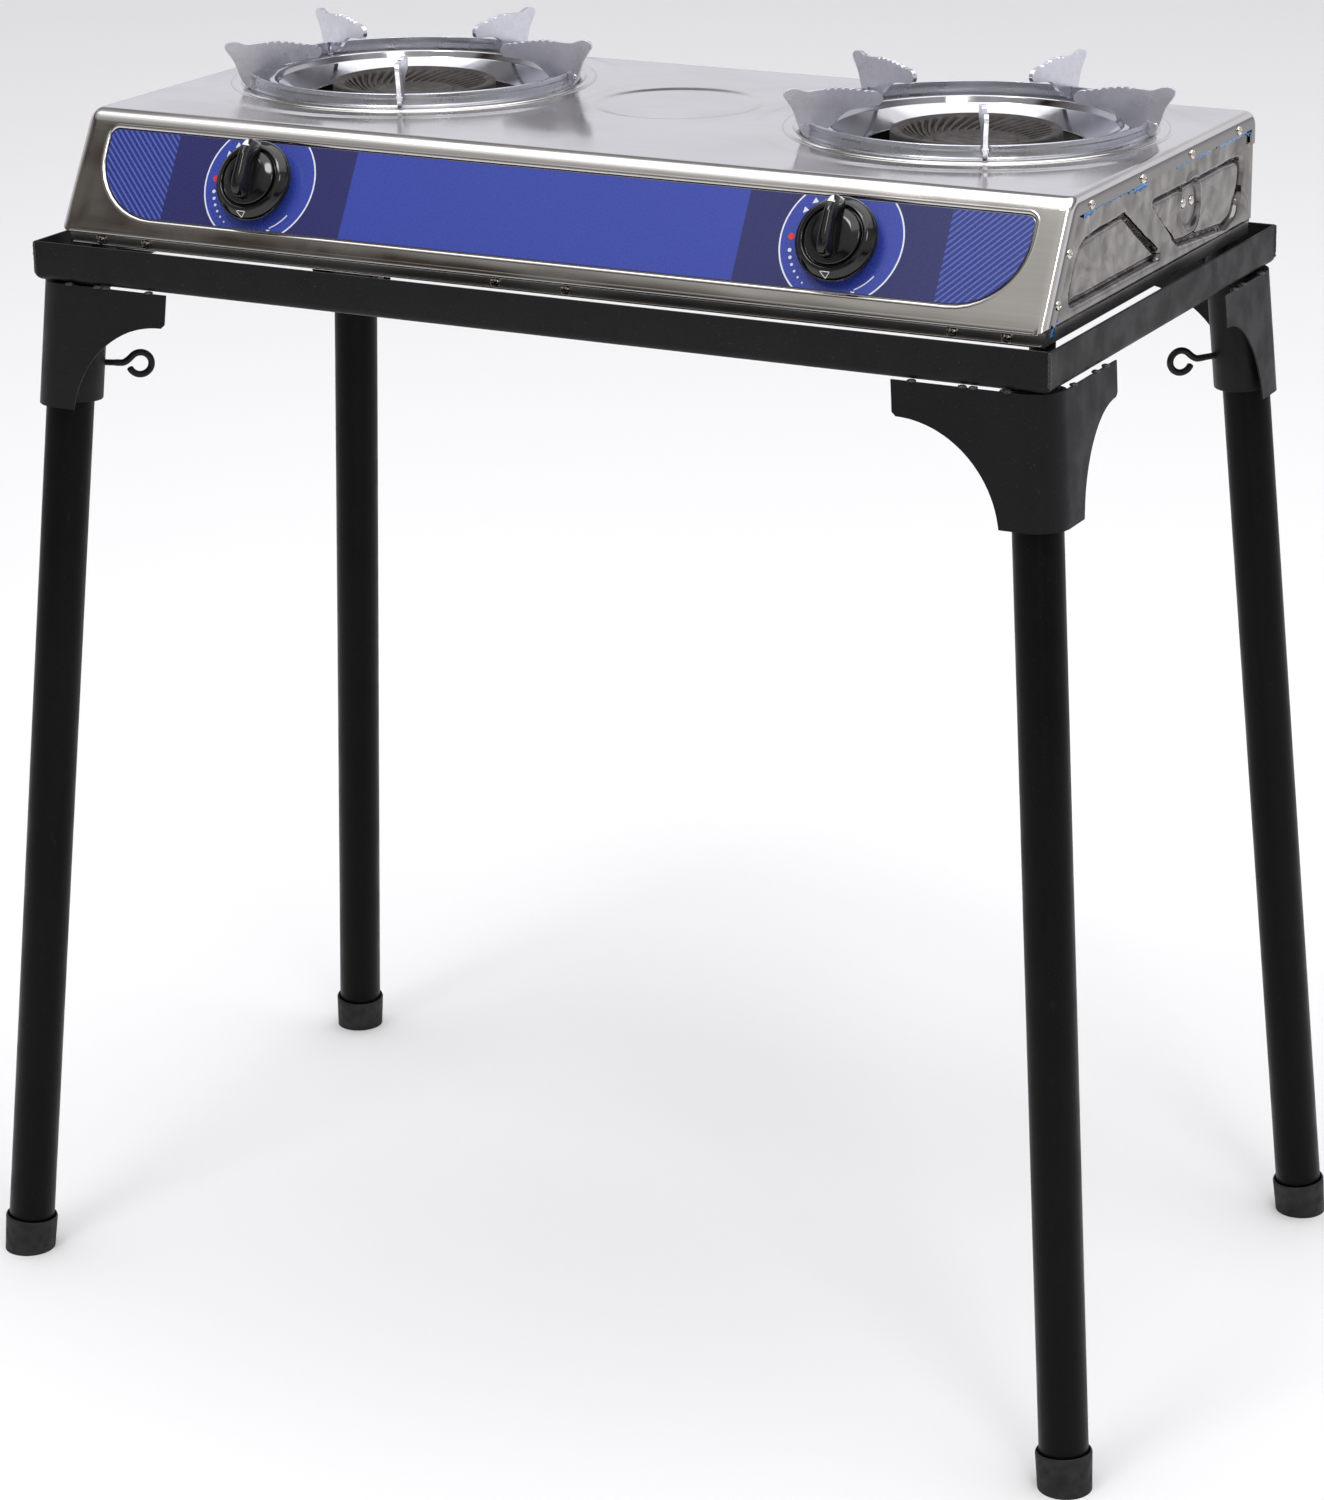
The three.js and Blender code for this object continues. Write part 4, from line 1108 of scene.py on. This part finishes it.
def build_knobs():
    outside, inside, stem_bore, marks = (26.0, 5.6), (22.9, 8.7), 4.4, []
    for (radius, up), angle in ((outside, -90), (inside, -82), (inside, -98)):
        marks.append((*polar(radius, math.radians(angle)), KNOB_BASE + up))
    sign = sweep(smooth_closed(marks), 0.28, 8, False)
    grip_verts, grip_faces, marked = grip_shape()
    dial = revolve(dial_profile(), 96)
    whole = merged(dial, (grip_verts, grip_faces))
    bore = prism(circle(stem_bore, 48), KNOB_BASE - 2, 18)
    for name, s in SIDES.items():
        here, node = FACE @ at(s * KNOB_X, KNOB_UP), f"knob_{name}"
        knob = piece(f"pointer_{node}", whole, [KNOB_PLASTIC, KNOB_MARK], here)
        owner = [0] * len(dial[1]) + [int(m) for m in marked]
        knob.data.polygons.foreach_set("material_index", owner)
        work = bmesh.new()
        work.from_mesh(knob.data)
        bmesh.ops.remove_doubles(work, verts=work.verts, dist=0.001 * MM)
        work.to_mesh(knob.data)
        work.free()
        cut_away(knob, moved(bore, here), joined=True)
        knob.data.shade_smooth()
        knob.data.set_sharp_from_angle(angle=math.radians(50))
        attach(knob, node, "knob_plastic", node)
        add(f"knob_sign_{name}", sign, KNOB_MARK, node, "knob_plastic", placing=here)


def smooth_closed(corners):
    """A path round the corners and back to the start."""
    path = []
    for a, b in zip(corners, corners[1:] + corners[:1]):
        path += [tuple(Vector(a).lerp(Vector(b), t)) for t in np.linspace(0.06, 0.94, 6)]
    return path + [path[0]]


# ---- burners ----------------------------------------------------------------------------------


def burner_cap_shape():
    """The cast lid: an outer wall, a rim line and a dished cone cut by curved flame slots."""
    slots, slot_low, slot_high, slot_depth, twist = 40, 34.5, 48.2, 2.8, 2.3
    inside_wall = [(0, 789), (24, 789), (50.4, 794.5), (50.4, 784)]
    edge = np.linspace(0.3, 1.57, 5)
    rim = [(55.5, 784), (55.5, 797.6)]
    rim += [(55.5 - 1.6 * (1 - math.cos(a)), 797.6 + 1.6 * math.sin(a)) for a in edge]
    rim += [(51.6, 799.3), (51.0, 798.7), (50.5, 798.5), (50.0, 798.6), (49.4, 798.2)]
    cone = [(r, 790.4 + (r - 31.5) * 0.43) for r in np.linspace(49.0, 31.5, 24)]
    centre = [(29.5, 789.9), (27.6, 790.2), (26.9, 792.4), (25.8, 793.2), (23.5, 793.4),
              (20, 792.2), (8, 791.8), (0, 791.8)]

    def slot(radius, angle, height):
        if not slot_low - 1 < radius < slot_high + 1 or height < 789.5:
            return 0.0
        along = (radius - slot_low) / (slot_high - slot_low)
        phase = (angle * slots / TURN + twist * along) % 1
        wide = 1 - smooth_step(abs(phase - 0.5), 0.17, 0.25)
        start = smooth_step(radius, slot_low - 0.6, slot_low + 0.6)
        return -slot_depth * wide * start * (1 - smooth_step(radius, slot_high - 0.6, slot_high + 0.6))

    return revolve(inside_wall + rim + cone + centre, 640, slot)


def ring_shape():
    """The support ring: a rolled band with a shallow groove and a turned lower edge."""
    low, height = 799.9, 10.1
    return revolve(fillet([(r, low + up, edge) for r, up, edge in (
        (111.2, 0, 0.3), (113.4, 0, 0.5), (113.4, 1.6, 0.6), (112.7, 2.6, 0.8), (112.7, 6.2, 0.6),
        (113.2, 7.2, 0.6), (113.0, height, 0.8), (111.2, height, 0.5),
    )], 4), 192)


def finger_outline():
    """Side view of a support finger in (radius, height): a horn outside, teeth along the top."""
    line = smooth_line([
        (113.7, 805.4), (113.6, 801.2), (115.6, 800.9), (119, 806), (121, 811), (124, 819),
        (129.4, 827.4), (128.6, 831), (124.8, 832.3), (121, 831.8), (114.5, 830.0), (103, 830.8),
        (96, 831.4), (86, 830.4), (75, 828.4), (66.8, 826.6), (63.8, 822.6), (66.4, 818.5),
        (74, 817.9), (86, 816.2), (93, 812.4), (98.5, 807.2), (104, 804.2), (110.4, 803.7),
        (110.6, 805.4),
    ], 10)
    teeth_in, teeth_out, pitch, depth, teeth_low = 70, 106, 4.9, 1.15, 824
    made = []
    for r, z in line:
        fade = smooth_step(r, teeth_in, teeth_in + 3)
        fade *= 1 - smooth_step(r, teeth_out - 3, teeth_out)
        bite = max(0.0, math.sin(TURN * (r - teeth_in) / pitch)) * depth if z > teeth_low else 0.0
        made.append((r, z - bite * fade))
    return made


def build_burners():
    upright = Matrix.Rotation(math.pi / 2, 4, "X")
    finger = prism(finger_outline(), -1.5, 1.5)
    stud = revolve([(0, -2.1), (1.5, -2.1), (1.5, 1.9), (1.1, 2.3), (0, 2.4)], 24)
    slot = prism([(108, -1.8), (118, -1.8), (118, 1.8), (108, 1.8)], 805.2, 815)
    dish = revolve(fillet([
        (104, 799.9), (104, 800.7, 0.3), (101.5, 800.8, 0.8), (99.4, 801.3, 0.8), (98.6, 803.3, 1.4),
        (94.6, 803.3, 1.4), (92.6, 798.6, 1.6), (84, 794.0), (74, 789.2, 1.5), (72, 789.4),
        (72, 788.6), (74, 788.2, 1.5), (84, 793.0), (93.4, 797.8, 1.2), (95.4, 802.3, 0.8),
        (97.8, 802.3, 0.8), (98.6, 799.9),
    ], 5), 160)
    cup = revolve(fillet([
        (0, 741), (34, 741, 3), (47, 764, 4), (50, 771, 2), (50, 794.0, 0.6), (46.2, 794.0, 0.6),
        (46.2, 772, 2), (31, 745.5, 2), (0, 745.5),
    ], 4, False))
    tube = [(0, y, 754.1) for y in np.linspace(-34, -139, 12)]
    bell = sweep(tube, lambda distance, _: 11.5 + 3.0 * smooth_step(distance, 92, 108), 40, False)
    pillar = revolve([(0, BOTTOM), (9, BOTTOM), (9, 742), (0, 742)], 40)
    rod = revolve(fillet([
        (0, BOTTOM), (4.5, BOTTOM), (4.5, 729, 0.5), (2.6, 731, 0.5), (2.6, 791, 0.6), (1.0, 792.5),
        (1.0, 799.7, 0.4), (0, 800),
    ], 3, False), 32)
    cap, band_shape, casting = burner_cap_shape(), ring_shape(), merged(cup, bell, pillar)
    for name, s in SIDES.items():
        here, lid, pan, support = at(s * BURNER_X, BURNER_Y), *(
            f"{part}_{name}" for part in ("burner_cap", "drip_pan", "pan_support"))
        add(f"flame_cap_{name}", cap, IRON, lid, "burner_iron", lid, placing=here, sharp=50)
        add(f"pan_dish_{name}", dish, CHROME, pan, "pan_chrome", pan, placing=here)
        add(f"burner_casting_{name}", casting, IRON, "stove", "burner_iron", f"burner_body_{name}",
            placing=here)
        ring = piece(f"support_ring_{name}", band_shape, RING_SHADED_ZINC, here)
        slots = []
        for k in range(1, 6):
            x, y = box_centre(f"finger_{name}_{k}")
            turned = here @ Matrix.Rotation(math.atan2(y - BURNER_Y, x - s * BURNER_X), 4, "Z")
            slots.append(moved(slot, turned))
            plate = piece(f"support_finger_{name}_{k}", finger, ZINC, turned @ upright, None)
            attach(soften(plate, 0.75, 3, 50), support, "support_zinc", f"finger_{name}_{k}")
            add(f"finger_stud_{name}_{k}", stud, ZINC, support, "support_zinc",
                placing=turned @ at(117.6, 0, 807.6) @ upright)
        attach(cut_away(ring, *slots), support, "support_zinc", f"pan_ring_{name}")
        spark = f"igniter_{name}"
        add(f"spark_rod_{name}", rod, CERAMIC, "stove", "igniter_ceramic", spark,
            placing=at(*box_centre(spark)))


def box_centre(node):
    low, high = box_mm(node)
    return (low.x + high.x) / 2, (low.y + high.y) / 2


# ---- gas train, floor pan and feet ------------------------------------------------------------


def build_gas_train():
    x, (y, z) = -372, INLET
    line_y, line_z = -121.7, 742.9
    stops = [(x + 8, y, z), (-330, y, z), (-323, y - 7, z - 1), (-322, 45, 755.2), (-322, -100, 744.5),
             (-321, -114, 743.4), (-314, line_y, line_z), (0, line_y, line_z),
             (KNOB_X + 30, line_y, line_z)]
    tube = sweep(smooth_line(stops, 8), 5, 24)
    thread = [(r, k + up) for k in range(13) for r, up in ((8.55, 1.0), (9.3, 1.5))]
    nipple = revolve([(3.5, 0.3), (3.8, 0), (8.2, 0), *thread, (7.2, 14.5), (7.2, 16), (11, 16),
                      (11, 21), (7.2, 21.5), (7.2, 30), (3.5, 30)], 48)
    turned = at(x, y, z) @ Matrix.Rotation(math.pi / 2, 4, "Y")
    shape = merged(tube, moved(nipple, turned))
    add("gas_line", shape, TUBE_STEEL, "stove", "tube_steel", "gas_manifold")
    for name in CORNERS:
        node = f"stove_foot_{name}"
        low, high = (corner.z for corner in box_mm(node))
        foot = [(0, low), (7, low, 0.8), (8, low + 2, 1), (8, high, 0.8), (0, high)]
        add(f"rubber_foot_{name}", revolve(fillet(foot, 4, False), 48), FOOT_RUBBER, "stove",
            "foot_rubber", node, placing=at(*box_centre(node)))


def paint_cad_nodes():
    finishes = {"base_pan": PAN_STEEL, "valve": BRASS}
    for name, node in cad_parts.items():
        for start, finish in finishes.items():
            if name.startswith(start):
                node.data.materials.clear()
                node.data.materials.append(finish)


# ---- stage ------------------------------------------------------------------------------------


def build_floor():
    """A wide pale floor, faintly mottled."""
    finish = Finish("floor_paint", (0.90, 0.90, 0.90), 0.0, 0.75, Specular_IOR_Level=0.2)
    finish.tone(finish.pattern(1.5, 3, 0, 0.15), (0.86, 0.86, 0.865))
    finish.bump(finish.noise(120, 3), 0.2, 0.1)
    reach = 30000
    rim = [(x, y, 0) for x, y in circle(reach, 128)]
    piece("floor", (rim, [list(range(len(rim)))]), finish.material)


def build_world():
    """A soft studio: bright above, a pale wall behind, and in front a darker, brownish room."""
    world = bpy.data.worlds.new("studio")
    bpy.context.scene.world = world
    world.use_nodes = True
    tree = world.node_tree

    def node(kind, output=0, settings=None, **inputs):
        return add_node(tree, kind, settings, **inputs).outputs[output]

    def ramp(value, *stops):
        made = add_node(tree, "ShaderNodeValToRGB", i0=value)
        elements = made.color_ramp.elements
        made.color_ramp.interpolation = "EASE"
        while len(elements) < len(stops):
            elements.new(0.5)
        for element, (position, colour) in zip(elements, stops):
            element.position, element.color = position, (*colour, 1)
        return made.outputs[0]

    def sums(first, factor, last):
        return node("ShaderNodeMath", 0, {"operation": "MULTIPLY_ADD"}, i0=first, i1=factor, i2=last)

    black, white = (0, 0, 0), (1, 1, 1)
    direction = node("ShaderNodeTexCoord", "Generated")
    height = node("ShaderNodeSeparateXYZ", "Z", i0=direction)
    depth = node("ShaderNodeSeparateXYZ", "Y", i0=direction)
    dot = {"operation": "DOT_PRODUCT"}
    slanted = node("ShaderNodeVectorMath", "Value", dot, i0=direction, i1=(0.4, 0, 1))
    streaks = node("ShaderNodeTexNoise", "Fac", Vector=direction, Scale=5)
    front = ramp(
        sums(streaks, 0.16, slanted), (0.0, (0.42, 0.42, 0.44)), (0.2, (0.30, 0.29, 0.28)),
        (0.455, (0.032, 0.020, 0.013)), (0.55, (0.50, 0.49, 0.48)), (0.75, (0.62, 0.61, 0.60)))
    back = ramp(
        height, (0.0, (0.55, 0.55, 0.60)), (0.16, (0.84, 0.84, 0.93)), (0.34, (0.90, 0.90, 0.96)),
        (0.50, (0.20, 0.19, 0.21)), (0.70, (0.34, 0.34, 0.35)))
    behind = ramp(sums(depth, 0.5, 0.5), (0.35, black), (0.62, white))
    ceiling = ramp(height, (0.76, black), (0.82, white))
    colour = add_mix(tree, ceiling, add_mix(tree, behind, front, back), (1.2, 1.2, 1.24, 1))
    tree.links.new(colour, tree.nodes["Background"].inputs["Color"])
    tree.nodes["Background"].inputs["Strength"].default_value = 1.0



def area_light(name, place, size, power):
    """A white rectangle of light, aimed at the middle of the stove and stand."""
    light = bpy.data.lights.new(name, "AREA")
    light.shape, light.size, light.size_y, light.energy = "RECTANGLE", *size, power
    made = bpy.data.objects.new(name, light)
    made.location = place
    made.rotation_euler = (Vector((0, 0, 0.6)) - Vector(place)).to_track_quat("-Z", "Y").to_euler()
    bpy.context.scene.collection.objects.link(made)


def build_lights():
    area_light("key_left", (-0.3, -1.7, 3.4), (0.7, 0.7), 17)
    area_light("key_right", (1.9, -1.8, 3.0), (0.7, 0.7), 17)
    area_light("kicker", (1.9, -3.4, 1.3), (0.5, 0.9), 2.5)
    area_light("top", (0.2, 0.2, 4.2), (5.0, 5.0), 92)


def build_camera():
    """The viewpoint: to the right of the front, looking a little down."""
    heading, dip, roll = -0.459, 0.313, -0.005
    ahead, sideways = polar(math.cos(dip), heading)
    look = Vector((sideways, ahead, -math.sin(dip)))
    right = look.cross(Vector((0, 0, 1))).normalized()
    up = right.cross(look)
    c, s = polar(1, roll)
    data = bpy.data.cameras.new("camera")
    data.lens, data.sensor_width, data.clip_end = 100.29, 36, 100
    data.shift_x, data.shift_y = -0.0653, -0.0667
    camera = bpy.data.objects.new("camera", data)
    axes = Matrix((c * right + s * up, -s * right + c * up, -look)).transposed().to_4x4()
    camera.matrix_world = at(1.257074, -2.395187, 1.306181) @ axes
    bpy.context.scene.collection.objects.link(camera)
    bpy.context.scene.camera = camera


build_rails()
build_corner_welds()
build_legs()
build_cover()
build_side_panels()
build_screws()
build_film_shreds()
build_label()
build_knobs()
build_burners()
build_gas_train()
paint_cad_nodes()
build_floor()
build_world()
build_lights()
build_camera()
bpy.context.scene.view_settings.view_transform = "Standard"
